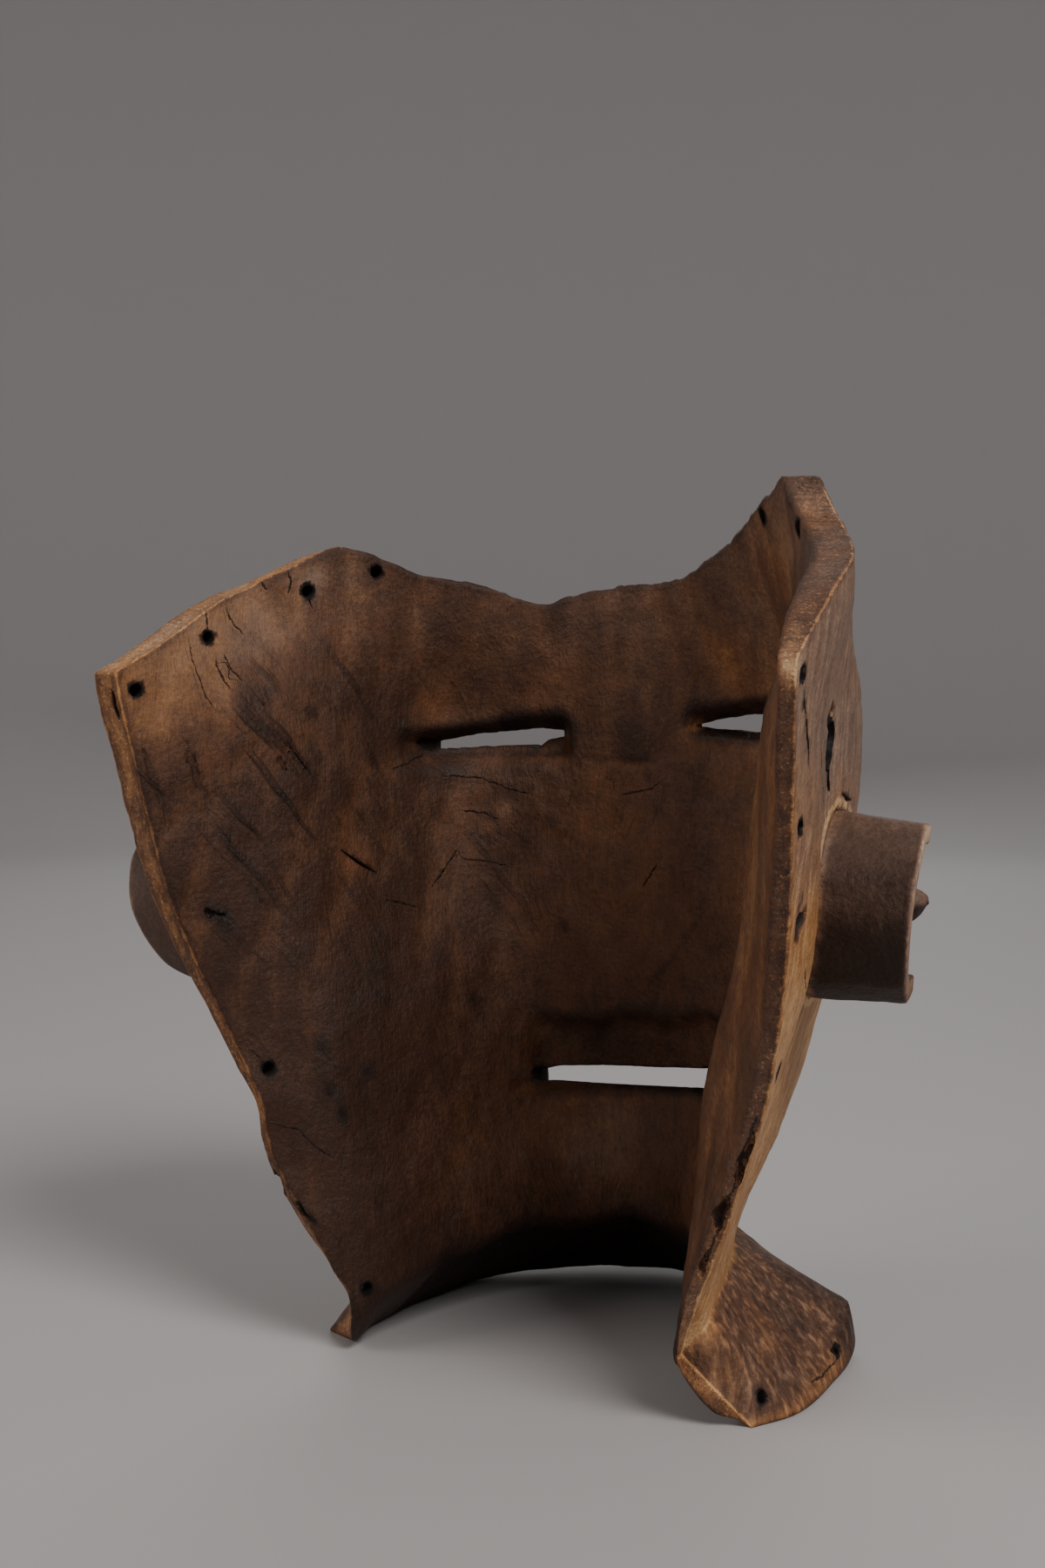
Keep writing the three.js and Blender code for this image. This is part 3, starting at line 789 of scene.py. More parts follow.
def ragged_outline(slit):
    """The outline with more points on it, a little uneven, as [place along, height, -1 below or 1 above]."""
    outline = slit["outline"]
    dense = []
    for (a0, z0), (a1, z1) in zip(outline, outline[1:] + outline[:1]):
        count = max(2, round(40 * abs(a1 - a0)))
        for t in np.linspace(0, 1, count, endpoint=False):
            dense.append((between(a0, a1, t), between(z0, z1, t)))
    dense = np.array(dense)
    middle = np.interp(dense[:, 0], *centre_line(outline))
    above = np.clip((dense[:, 1] - middle) / 1.5, -1, 1)
    wobble = np.array([noise.noise(Vector((a * 18, z, slit["level"]))) for a, z in dense])
    dense[:, 1] += 0.45 * wobble * np.abs(above)
    return dense, above


def centre_line(outline):
    places = sorted({p[0] for p in outline})
    heights = []
    for place in places:
        crossings = []
        for (a0, z0), (a1, z1) in zip(outline, outline[1:] + outline[:1]):
            if a0 != a1 and min(a0, a1) - 1e-9 <= place <= max(a0, a1) + 1e-9:
                crossings.append(between(z0, z1, (place - a0) / (a1 - a0)))
        heights.append(np.mean([min(crossings), max(crossings)]))
    return places, heights


def slit_tool(slit):
    dense, above = ragged_outline(slit)
    loops = []
    for ahead in np.linspace(40, 125, 32):
        lower = slit["drop"] * max(ahead - 68, 0)
        heights = [z - lower * (rise < 0) for (_, z), rise in zip(dense, above)]
        loops.append([(slit["spread"](a, ahead), -ahead, z) for (a, _), z in zip(dense, heights)])
    return closed_sweep(loops)


for slit in slits:
    join(*slit_tool(slit), "DIFFERENCE")


# The lashing holes along the rim, the top edge and the plate, bored straight through the wall with a hot iron,
# and two on the right cheek that were given up at a small depth.
bores = [
    {"name": "left_corner", "at": (108, -61, 215.5), "axis": (-0.91, 0.4, 0.09), "reach": 14},
    {"name": "left_top_back", "at": (101.5, -34, 233), "axis": (-0.94, 0.25, 0.1), "reach": 16},
    {"name": "left_top_middle", "at": (90, 3.5, 250), "axis": (-0.89, 0.46, 0), "reach": 17},
    {"name": "left_top_front", "at": (76, 24, 257.5), "axis": (-0.78, 0.6, 0), "reach": 18},
    {"name": "left_low", "at": (80.5, -29, 94), "axis": (-0.9, 0.4, 0.1), "reach": 15},
    {"name": "left_foot", "at": (56, -9, 21.5), "axis": (-0.9, 0.4, 0), "reach": 26},
    {"name": "right_horn_front", "at": (-66, 30, 269), "axis": (0.74, 0.66, 0.25), "reach": 17},
    {"name": "right_horn_back", "at": (-87, 5.5, 262), "axis": (0.88, 0.48, 0.35), "reach": 16},
    {"name": "right_corner", "at": (-114.5, -59.5, 217.5), "axis": (-1, 0, -0.1), "reach": 14},
    {"name": "right_middle", "at": (-109.5, -50, 178.5), "axis": (-1, 0.05, -0.1), "reach": 20, "depth": 3},
    {"name": "right_low", "at": (-94, -27, 110), "axis": (-0.95, -0.1, -0.25), "reach": 18, "depth": 2},
    {"name": "right_foot", "at": (-75.5, 5.5, 7.5), "axis": (-0.7, 0.1, 0.7), "reach": 12, "radius": 1.6},
    {"name": "right_foot_small", "at": (-82.2, 52.4, 8.9), "axis": (-0.6, 0.0, 0.8), "reach": 9, "radius": 1.1},
]
for bore in bores:
    bore["along"] = np.array(bore["axis"]) / np.linalg.norm(bore["axis"])
    bore["middle"] = np.array([bore["at"][0], -bore["at"][1], bore["at"][2]])


def bore_tool(bore):
    sideways = np.cross((0, 0, 1), bore["along"])
    sideways = sideways / np.linalg.norm(sideways)
    upwards = np.cross(bore["along"], sideways)
    loops = []
    for far in np.linspace(-bore.get("depth", bore["reach"]), bore["reach"], 14):
        loop = []
        for k in range(22):
            turn = 2 * math.pi * k / 22
            radius = bore.get("radius", 2.0) * (1 + 0.07 * math.sin(2 * turn + far * 0.4))
            across_bore = sideways * math.cos(turn) + upwards * math.sin(turn)
            loop.append(bore["middle"] + bore["along"] * far + radius * across_bore)
        loops.append(loop)
    return closed_sweep(loops)


for bore in bores:
    join(*bore_tool(bore), "DIFFERENCE")


# Age: a worm-eaten split in the right cheek, splinters torn out of both rims, a knot and a few gouges.
# Each is a spindle-shaped hollow between two places of the picture, with its width as seen and its depth.
hollows = [
    {"name": "split", "from": (957, 826), "to": (948, 886), "wide": 4.6, "deep": 9, "dark": 1.0},
    {"name": "split_mouth", "from": (956, 804), "to": (951, 850), "wide": 3.2, "deep": 1.4, "dark": 0.08},
    {"name": "split_below", "from": (950, 876), "to": (952, 914), "wide": 2.0, "deep": 2.4, "dark": 0.7},
    {"name": "long_crack", "from": (924, 792), "to": (930, 888), "wide": 0.7, "deep": 1.2, "dark": 0.3},
    {"name": "corner_slot", "from": (926, 761), "to": (921, 787), "wide": 1.0, "deep": 3.0, "dark": 0.45},
    {"name": "worm_holes", "from": (966, 912), "to": (978, 920), "wide": 1.6, "deep": 1.5, "dark": 0.35},
    {"name": "cheek_gouge", "from": (926, 1040), "to": (910, 1088), "wide": 4.2, "deep": 2.2, "dark": 0.2},
    {"name": "oval_dent", "from": (921, 944), "to": (918, 964), "wide": 1.5, "deep": 1.4, "dark": 0.25},
    {"name": "rim_splinter_upper", "from": (866, 1298), "to": (843, 1366), "wide": 3.0, "deep": 1.6, "dark": 0.05},
    {"name": "rim_splinter_middle", "from": (833, 1372), "to": (822, 1416), "wide": 3.6, "deep": 1.8, "dark": 0.05},
    {"name": "rim_splinter_lower", "from": (811, 1436), "to": (804, 1468), "wide": 2.0, "deep": 1.2, "dark": 0.05},
    {"name": "left_rim_slot", "from": (127, 790), "to": (137, 828), "wide": 1.5, "deep": 3.0},
    {"name": "left_rim_pit_a", "from": (313, 1340), "to": (330, 1376), "wide": 2.4, "deep": 1.6},
    {"name": "left_rim_pit_b", "from": (338, 1378), "to": (357, 1406), "wide": 2.4, "deep": 1.6},
    {"name": "knot", "from": (234, 1046), "to": (248, 1050), "wide": 3.0, "deep": 2.0, "dark": 0.16},
    {"name": "knot_crack", "from": (246, 1049), "to": (260, 1051), "wide": 1.0, "deep": 1.0, "dark": 0.15},
    {"name": "adze_slip", "from": (391, 976), "to": (434, 1004), "wide": 1.1, "deep": 1.3},
    {"name": "groove_a", "from": (163, 858), "to": (190, 934), "wide": 1.9, "deep": 0.39},
    {"name": "groove_b", "from": (209, 846), "to": (240, 926), "wide": 2.4, "deep": 0.33},
    {"name": "groove_c", "from": (302, 808), "to": (334, 866), "wide": 1.6, "deep": 0.33},
    {"name": "groove_d", "from": (326, 852), "to": (362, 898), "wide": 1.6, "deep": 0.33},
    {"name": "groove_e", "from": (318, 868), "to": (352, 920), "wide": 1.4, "deep": 0.28},
    {"name": "groove_f", "from": (256, 958), "to": (302, 1038), "wide": 1.1, "deep": 0.28},
    {"name": "groove_g", "from": (800, 1058), "to": (748, 1128), "wide": 1.8, "deep": 0.33},
    {"name": "mouth_corner", "from": (610, 1233), "to": (634, 1230), "wide": 4.6, "deep": 2.6},
    {"name": "eye_corner", "from": (478, 853), "to": (508, 853), "wide": 5.0, "deep": 2.2},
]


def spindle_tool(hollow):
    start, face_a = seen_at(*hollow["from"])
    end, face_b = seen_at(*hollow["to"])
    into = -(face_a + face_b)
    into = into / np.linalg.norm(into)
    sight = (start - eye) / np.linalg.norm(start - eye)
    if into @ sight < 0:
        into = -into
    along = end - start
    sideways = np.cross(along, into)
    sideways = sideways / np.linalg.norm(sideways)
    wide = hollow["wide"] / max(math.sqrt(1 - (sideways @ sight) ** 2), 0.3)
    hollow["cut"] = (start, along, into, wide)
    loops = []
    for t in np.linspace(0.02, 0.98, 15):
        full = math.sin(math.pi * t) ** 0.7
        centre = start + along * t + sideways * 0.12 * wide * math.sin(9 * t)
        loop = []
        for k in range(12):
            turn = 2 * math.pi * k / 12
            ragged = 1 + 0.3 * noise.noise(Vector(centre / 3 + np.array([turn, 0, 0])))
            aside = 0.5 * wide * math.cos(turn)
            down = hollow["deep"] * math.sin(turn)
            loop.append(centre + (sideways * aside + into * down) * full * ragged)
        loops.append(loop)
    return closed_sweep(loops)


for hollow in hollows:
    join(*spindle_tool(hollow), "DIFFERENCE")
finished = block.data
triangles = sum(len(p.vertices) - 2 for p in finished.polygons)
print("mask:", len(finished.vertices), "points,", triangles, "triangles")


# The finish: the wood's tone from place to place, with painted light and shade in the cavity, the slits, the ears
# and the hollows, kept on the points as soft fields, with the grain, the patina, the cracks, the rubbed edges and
# painted shade in the scoops and sunken places laid over it by the material.
mesh = block.data
mesh.shade_smooth()
count = len(mesh.vertices)
places = np.empty(count * 3)
mesh.vertices.foreach_get("co", places)
places = places.reshape(-1, 3) * 1000 - block_set
facing = np.empty(count * 3)
mesh.vertex_normals.foreach_get("vector", facing)
facing = facing.reshape(-1, 3)
sides = np.empty(len(mesh.edges) * 2, int)
mesh.edges.foreach_get("vertices", sides)
sides = sides.reshape(-1, 2)

tree = kdtree.KDTree(len(shell_points))
for n, place in enumerate(shell_points):
    tree.insert(place, n)
tree.balance()
nearest = [tree.find(place) for place in places]
found = np.array([hit[1] for hit in nearest])
distance = np.array([hit[2] for hit in nearest])
from_shell = distance < 1.2
across_place = columns[net_i[found]]
row = net_j[found]
layer = net_k[found]
height = places[:, 2]
cavity_side = from_shell & (layer == 0)
top_end = from_shell & (row == up) & (layer > 0)
right_rim = from_shell & (net_i[found] == 0) & (layer > 0) & ~top_end
left_rim = from_shell & (net_i[found] == across) & (layer > 0) & ~top_end
plate_face = from_shell & (layer == layers) & (row > 0) & (row <= plate_rows)
foot_end = from_shell & (row == 0)
outer_side = from_shell & (layer == layers) & (row > plate_rows)
ear_side = ~from_shell & (np.abs(places[:, 0]) > 90)
in_slit = ~from_shell & (np.abs(places[:, 0]) < 85)


def spread(field, passes, part=0.5):
    """A field on the points, smoothed over the mesh."""
    ends = np.bincount(sides.ravel(), minlength=count)
    for _ in range(passes):
        total = np.bincount(sides[:, 0], field[sides[:, 1]], count)
        total = total + np.bincount(sides[:, 1], field[sides[:, 0]], count)
        field = field + part * (total / np.maximum(ends, 1) - field)
    return field


smoothed = np.stack([spread(places[:, n], 7) for n in range(3)], 1)
proud = ((places - smoothed) * facing).sum(1)
rubbed = np.clip(spread(np.clip(proud / 0.45, -1, 1), 1), 0, 1)
rubbed = rubbed * np.where(cavity_side | in_slit, 0.25, np.where(ear_side, 0.6, 1))
# How far each point lies sunk below its neighbours; the material paints grime and painted shade there.
sunk = np.clip(spread(np.clip(-proud / 0.5, -1, 1), 1), 0, 1)

tone = np.full(count, 0.42)
warmth = np.full(count, 0.5)


def zone(where, shade, warm):
    tone[where] = (shade if np.ndim(shade) == 0 else shade[where])
    warmth[where] = (warm if np.ndim(warm) == 0 else warm[where])


# The cavity's tone, with painted light and shade: darker towards the bottom, lighter in a band under the left top
# edge and darker low on the left, lighter on the right inner wall, and darker along the right rim.
tone_with_painted_depth_shade = curve([0, 25, 60, 100, 150, 200, 235, 270], [0.2, 0.3, 0.4, 0.36, 0.36, 0.39, 0.46, 0.5], height)
to_left = ease(0.35, 0.8, across_place)
to_right = ease(0.1, 0.35, -across_place)
near_rim = ease(0.66, 0.86, -across_place)
ragged_line = 5 * np.sin(across_place * 19) + 3 * np.sin(across_place * 47 + 1)
below_top = top_edge(across_place) - height + ragged_line
upper_band = 1 - ease(20, 38, below_top)
left_painted_light_and_shade = 0.13 * upper_band - 0.1 * (1 - ease(60, 205, height))
right_painted_light = (0.14 + 0.08 * hump(height - 165, 45)) * (1 - 0.75 * ease(205, 235, height))
cavity_painted_light_and_shade = tone_with_painted_depth_shade + left_painted_light_and_shade * to_left + right_painted_light * to_right - 0.07 * near_rim
cavity_warmth = 0.72 - 0.22 * ease(212, 245, height) + 0.32 * to_left * (1 - ease(120, 200, height))
zone(cavity_side, cavity_painted_light_and_shade, cavity_warmth)
# Painted shade: cavity faces that face down near the eye and mouth levels, such as the upper edges of the slits,
# are darkened.
by_slit = cavity_side & (np.abs(height - 205) < 12) | cavity_side & (np.abs(height - 90) < 14)
tone -= 0.5 * by_slit * np.clip(-facing[:, 2] - 0.25, 0, 0.5)
# Painted shade on each dish's steep upper slope, which faces down over the slit.
for dish in eye_dishes:
    aside = places[:, 0] * dish["side"]
    above = height - np.interp(aside, (27, 45, 70), dish["top"])
    a, b, c, d = dish["ends"]
    under = (1 - ease(2.5, dish["up"] + 1.5, above)) * (above > -1.5)
    under = under * ease(a - 2, a + 3, aside) * (1 - ease(c - 2, d, aside))
    tone -= dish["shade"] * cavity_side * under
# Painted shade: at the front, the cavity below the crease, where the plate flares out and faces down, is painted
# much darker.
above_crease = height - crease_height(across_place, False) - 2.5 * np.sin(across_place * 23)
painted_shade_under_plate = cavity_side * ease(5, -3, above_crease)
tone -= 0.33 * painted_shade_under_plate * (1 - ease(0.42, 0.8, np.abs(across_place)))
zone(outer_side, 0.4, 0.5)
right_cheek = outer_side & (across_place < -0.38)
cheek_shade = curve([20, 90, 150, 190, 250], [0.78, 0.84, 0.8, 0.71, 0.7], height)
zone(right_cheek, cheek_shade, curve([60, 140, 165, 200], [1.2, 1.2, 0.55, 0.15], height))
zone(top_end, np.where(across_place > 0.55, 0.72, 0.54), np.where(across_place > 0.55, 0.6, 0.4))
zone(right_rim, curve([12, 60, 100, 212, 222], [0.66, 0.58, 0.46, 0.44, 0.84], height), 0.6)
zone(left_rim, curve([12, 50, 100, 150, 230], [0.66, 0.64, 0.58, 0.58, 0.6], height), 0.8)
zone(foot_end, 0.52, 0.8)
zone(plate_face, 0.44, 0.5)
bevel = plate_face & (row <= edge_rows) & (across_place < -0.5)
zone(bevel, 0.62, 0.8)
plate_end = right_rim & (row <= plate_rows)
zone(plate_end, 0.5, 0.9)
# Each ear's tone by the turn around its tube is painted light and shade: the right ear darker underneath and
# lighter on top, the left ear lighter on its back facet.
for ear in ears:
    on_ear = ear_side & (places[:, 0] * ear["side"] > 0)
    around = np.degrees(np.arctan2(places[:, 2] - ear["height"], places[:, 1] + ear["ahead"]))
    zone(on_ear, curve([-110, -60, -42, -10, 0, 26, 40, 80, 110], ear["painted_light_tones"], around), 0.08)
# Painted light and shade in the slits: faces that face up are lighter and faces that face down darker.
zone(in_slit, 0.2 + 0.16 * np.clip(facing[:, 2] * 1.4, -1, 1), 0.7)
tone = spread(tone, 2)
warmth = spread(warmth, 3)

# Soft patches by their place in the picture: (x, y, reach in mm, lighter or darker, warmer or greyer).
patches = [
    (200, 790, 30, 0.08, -0.1),
    (410, 985, 8, 0.14, 0.6),
    (370, 960, 16, 0.03, 0.3),
    (497, 812, 7, 0.1, 0.4),
    (560, 870, 12, 0.08, 0.0),
    (560, 787, 9, -0.06, -0.1),
    (640, 1280, 14, 0.06, 0.2),
    (700, 1290, 16, 0.1, -0.2),
    (690, 1350, 16, 0.12, -0.3),
    (450, 760, 15, -0.07, 0.0),
    (600, 960, 18, -0.05, 0.0),
    (545, 1250, 18, -0.06, 0.1),
    (360, 1280, 26, -0.05, 0.2),
    (235, 880, 22, -0.08, 0.15),
    (700, 940, 24, 0.07, 0.0),
    (740, 1060, 20, 0.06, 0.1),
    (600, 780, 18, 0.05, 0.0),
    (310, 1040, 22, 0.0, 0.2),
    # Painted highlight on the lit inner end of the right eye slit.
    (800, 832, 4, 0.4, 0.1),
    (581, 928, 3.5, 0.24, -0.2),
    (561, 949, 2.5, 0.2, -0.2),
    (516, 915, 3, 0.14, -0.2),
    (545, 1147, 3, -0.2, 0),
    (421, 1231, 2.6, -0.2, 0),
    (370, 1198, 2.4, -0.15, 0),
    (378, 1253, 2.6, -0.15, 0),
    (394, 1276, 2.6, -0.15, 0),
    (357, 817, 2.4, -0.2, 0),
    (392, 905, 4.5, -0.14, 0),
    (390, 800, 9, -0.08, -0.2),
    (647, 1064, 2.4, -0.18, 0),
    (604, 968, 3, -0.15, 0),
    (632, 942, 2.5, -0.15, 0),
    (242, 1047, 3.6, -0.16, -0.1),
    (256, 1050, 3.0, -0.1, -0.1),
    (236, 1064, 3, 0.12, -0.2),
    (440, 830, 13, -0.08, 0.0),
    (300, 700, 10, 0.04, 0.0),
    (420, 1130, 22, -0.05, 0),
    (500, 1180, 22, -0.07, 0),
    (450, 1110, 16, -0.1, 0.1),
    (420, 1290, 20, -0.1, 0.1),
    # The next four are painted shade in the hollow above the mouth and at its left corner.
    (620, 1205, 4, -0.12, 0),
    (620, 1236, 4, -0.25, 0),
    (700, 1195, 12, -0.06, 0),
    (760, 1195, 8, -0.06, 0),
    (360, 664, 4, 0.12, -0.5),
    (912, 1150, 6, 0.06, 0.2),
    (917, 1060, 4, -0.12, -0.6),
    (953, 822, 2.2, 0.2, 0.6),
    (962, 905, 5, 0.12, 0.1),
    (905, 764, 5, 0.2, 0),
    (890, 660, 12, 0.06, 0.2),
    (840, 760, 12, 0.06, 0.3),
    (810, 1530, 6, 0.22, 0.1),
    (830, 1580, 6, 0.1, 0.1),
    (883, 1540, 2.5, 0.16, 0.2),
    (900, 1510, 9, -0.06, -0.2),
]
for x, y, reach, lighter, warmer in patches:
    middle, _ = seen_at(x, y)
    near = hump(np.linalg.norm(places - middle, axis=1), reach)
    tone += lighter * near
    warmth += warmer * near
# The bores are painted dark inside, grime and painted shade together, with a slightly darker ring around each.
for bore in bores:
    offset = places - bore["middle"]
    far = offset @ bore["along"]
    away = np.linalg.norm(offset - far[:, None] * bore["along"], axis=1)
    radius = bore.get("radius", 2.0)
    reached = (far > -bore.get("depth", bore["reach"]) - 0.6) & (far < bore["reach"])
    in_bore = (away < radius + 0.35) & reached
    tone[in_bore] = np.minimum(tone[in_bore], 0.2 if "depth" in bore else 0.03)
    tone -= 0.07 * hump(away - radius, 1.0) * reached
# Each hollow is painted darker inside, deeper ones more, grime and painted shade together.
for hollow in hollows:
    start, along, into, wide = hollow["cut"]
    t = np.clip((places - start) @ along / (along @ along), 0, 1)
    offset = places - start - t[:, None] * along
    down = offset @ into
    aside = np.linalg.norm(offset - down[:, None] * into, axis=1)
    darker = 0.3 * hollow["dark"] if "dark" in hollow else min(0.3, 0.03 + 0.2 * hollow["deep"])
    across_mouth = 1 - ease(0.45 * wide, 0.8 * wide, aside)
    down_inside = ease(-0.3, min(1.2, hollow["deep"]), down) * (down < hollow["deep"] * 1.5)
    tone -= darker * across_mouth * down_inside

# The insides of the bores and hollows are painted dark, grime and painted shade together, and that stops sharply at
# their mouths: it is kept on the faces, where the other fields are kept on the points.
centres = np.empty(len(mesh.polygons) * 3)
mesh.polygons.foreach_get("center", centres)
centres = centres.reshape(-1, 3) * 1000 - block_set
dirt_and_shade = np.zeros(len(centres))
for hollow in hollows:
    start, along, into, wide = hollow["cut"]
    t = (centres - start) @ along / (along @ along)
    offset = centres - start - np.clip(t, 0, 1)[:, None] * along
    down = offset @ into
    aside = np.linalg.norm(offset - down[:, None] * into, axis=1)
    inside = (t > 0) & (t < 1) & (aside < 0.8 * wide) & (down > 0.2) & (down < hollow["deep"] * 1.4)
    dirt_and_shade[inside] = np.maximum(dirt_and_shade[inside], hollow.get("dark", 0) * np.minimum(1, 0.6 + 0.5 * down[inside]))
for bore in bores:
    offset = centres - bore["middle"]
    far = offset @ bore["along"]
    away = np.linalg.norm(offset - far[:, None] * bore["along"], axis=1)
    inside = away < bore.get("radius", 2.0) * 1.1
    inside = inside & (far > -bore.get("depth", bore["reach"]) - 0.3) & (far < bore["reach"])
    dirt_and_shade[inside] = 0.35 if "depth" in bore else 0.9
dirt_and_shade_layer = mesh.attributes.new("dirt_and_shade", "FLOAT", "FACE")
dirt_and_shade_layer.data.foreach_set("value", dirt_and_shade.astype(np.float32))

# Fine cracks, as lines through places of the picture, each with its width in millimetres.
cracks = [
    ([(236, 702), (239, 726), (237, 740)], 0.5),
    ([(246, 757), (258, 782), (266, 792)], 0.4),
    ([(258, 694), (265, 712), (281, 729)], 0.35),
    ([(257, 750), (265, 768), (279, 782)], 0.4),
    ([(213, 722), (222, 760), (236, 800), (253, 822)], 0.25),
    ([(286, 1205), (298, 1213)], 0.4),
    ([(495, 1018), (506, 1004), (518, 985), (526, 974)], 0.6),
    ([(526, 985), (560, 988), (590, 995)], 0.3),
    ([(440, 1031), (460, 1036), (480, 1041)], 0.35),
    ([(449, 883), (466, 877), (489, 864)], 0.4),
    ([(756, 989), (747, 1004), (736, 1021)], 0.3),
    ([(710, 913), (747, 906), (762, 895)], 0.4),
    ([(503, 889), (552, 892), (587, 906), (618, 912)], 0.4),
    ([(529, 929), (558, 933), (575, 941)], 0.35),
    ([(923, 786), (924, 813), (926, 840), (929, 885)], 0.4),
    ([(943, 855), (944, 880), (945, 905), (946, 928)], 0.5),
    ([(925, 1112), (925, 1136)], 0.6),
    ([(308, 1288), (343, 1296), (367, 1319), (386, 1331)], 0.4),
    ([(330, 655), (334, 668), (331, 680)], 0.5),
    ([(352, 684), (360, 700)], 0.3),
    ([(300, 668), (306, 678)], 0.4),
    ([(930, 1588), (945, 1578), (962, 1560)], 0.5),
]
for n in range(16):
    x = 868 - 2.55 * n - 0.05 * n * n
    y = 1284 + 9.5 * n
    cracks.append(([(x, y), (x - 6 - n % 3, y + 17), (x - 10, y + 32 + 3 * (n % 2))], 0.6))
crack_side = np.full(count, 9.0)
crack_near = np.zeros(count)
for line, wide in cracks:
    knots = [seen_at(x, y)[0] for x, y in line]
    total = sum(np.linalg.norm(b - a) for a, b in zip(knots, knots[1:]))
    best = np.full(count, 99.0)
    offset = np.zeros(count)
    strength = np.zeros(count)
    run = 0.0
    for a, b in zip(knots, knots[1:]):
        span = b - a
        length = np.linalg.norm(span)
        t = (places - a) @ span / length**2
        inside = np.clip(t, 0, 1)
        away = np.linalg.norm(places - a - inside[:, None] * span, axis=1)
        beside = ((places - a) * np.cross(span / length, facing)).sum(1)
        share = (run + inside * length) / total
        closer = away < best
        best[closer] = away[closer]
        offset[closer] = beside[closer]
        strength[closer] = np.sin(np.pi * np.clip(share[closer], 0.02, 0.98)) ** 0.5
        run += length
    near = strength * (1 - ease(1.2, 3.0, best)) * wide / 0.7
    stronger = near > crack_near
    crack_near[stronger] = near[stronger]
    crack_side[stronger] = offset[stronger]

# Edges that hands and cords rubbed to pale wood: both sides of the right rim, the ear's root, the left rim and
# the plate's corner. The field is the distance in millimetres from the nearest of them.
is_net = lambda mask: shell_points[mask]
upper = net_j > plate_rows
rubbed_lines = [is_net((net_i == 0) & (net_k == layers) & upper)]
rubbed_lines.append(is_net((net_i == across) & (net_k == 0) & upper))
rubbed_lines.append(is_net((net_i == across) & (net_k == layers) & upper))
rubbed_lines.append(is_net((net_j == up) & (net_k == layers) & (np.abs(columns[net_i]) > 0.6)))
rubbed_lines.append(is_net((net_j == up) & (net_k == 0) & (columns[net_i] > 0.6)))
rubbed_lines.append(is_net((net_j <= plate_rows) & (net_k == layers) & (net_i == 0)))
line_points = np.concatenate(rubbed_lines)
line_tree = kdtree.KDTree(len(line_points))
for n, place in enumerate(line_points):
    line_tree.insert(place, n)
line_tree.balance()
from_edge = np.array([line_tree.find(place)[2] for place in places])
ear = ears[0]
round_ear = np.hypot(places[:, 1] + ear["ahead"], places[:, 2] - ear["height"]) - ear["radius"]
at_root = np.where((places[:, 0] < -84) & (round_ear > -3), np.maximum(np.abs(round_ear - 1.2) - 1.0, 0), 9)
from_edge = np.minimum(from_edge, np.where(outer_side, at_root, 9))
for ear in ears:
    back = places[:, 1] + ear["ahead"]
    high = (places[:, 2] - ear["height"] + 1.5) / 0.91
    end = ear["end"] + (ear["end_back"] * back + ear["end_top"] * high) / ear["radius"]
    on_ear = ear_side & (places[:, 0] * ear["side"] > 0) & (np.hypot(back, high) > ear["radius"] * 0.6)
    from_edge = np.where(on_ear, np.minimum(from_edge, np.abs(end - np.abs(places[:, 0]))), from_edge)
    tone += 0.2 * on_ear * hump(end - np.abs(places[:, 0]), 1.0)

laid = np.stack([net_arc[found], height, net_k[found] * 1.6], 1)


def keep_field(name, values):
    layer = mesh.attributes.new(name, "FLOAT", "POINT")
    layer.data.foreach_set("value", np.asarray(values, np.float32))


keep_field("tone", np.clip(tone, 0, 1))
keep_field("warmth", np.clip(warmth, 0, 1))
keep_field("rubbed", rubbed)
keep_field("sunk", sunk)
keep_field("scooped", spread(np.where(cavity_side, scoop_depth[found] / 0.8, 0.5), 1))
keep_field("from_edge", np.clip(from_edge, 0, 9))
keep_field("crack_side", np.clip(crack_side, -9, 9))
keep_field("crack_near", np.clip(crack_near, 0, 1))
keep_field("end_wood", spread((top_end | right_rim | left_rim | foot_end).astype(float), 1))
keep_field("streaked", spread((plate_face | right_cheek | left_rim).astype(float), 2))
worked_place = between(0.25, 1, to_left * ease(120, 190, height)) * (1 - upper_band * 0.85)
keep_field("worked", spread(cavity_side * worked_place, 2))
torn_place = ease(150, 175, height) * (1 - ease(190, 200, height)) * hump(laid[:, 0] - 18, 36)
keep_field("torn", spread(cavity_side * torn_place, 2))
keep_field("on_ear", spread(ear_side.astype(float), 1))
keep_field("plate", spread(plate_face.astype(float), 2))
keep_field("dull", spread((in_slit | (tone < 0.08)).astype(float), 1))
spots = mesh.attributes.new("laid", "FLOAT_VECTOR", "POINT")
spots.data.foreach_set("vector", laid.astype(np.float32).ravel())


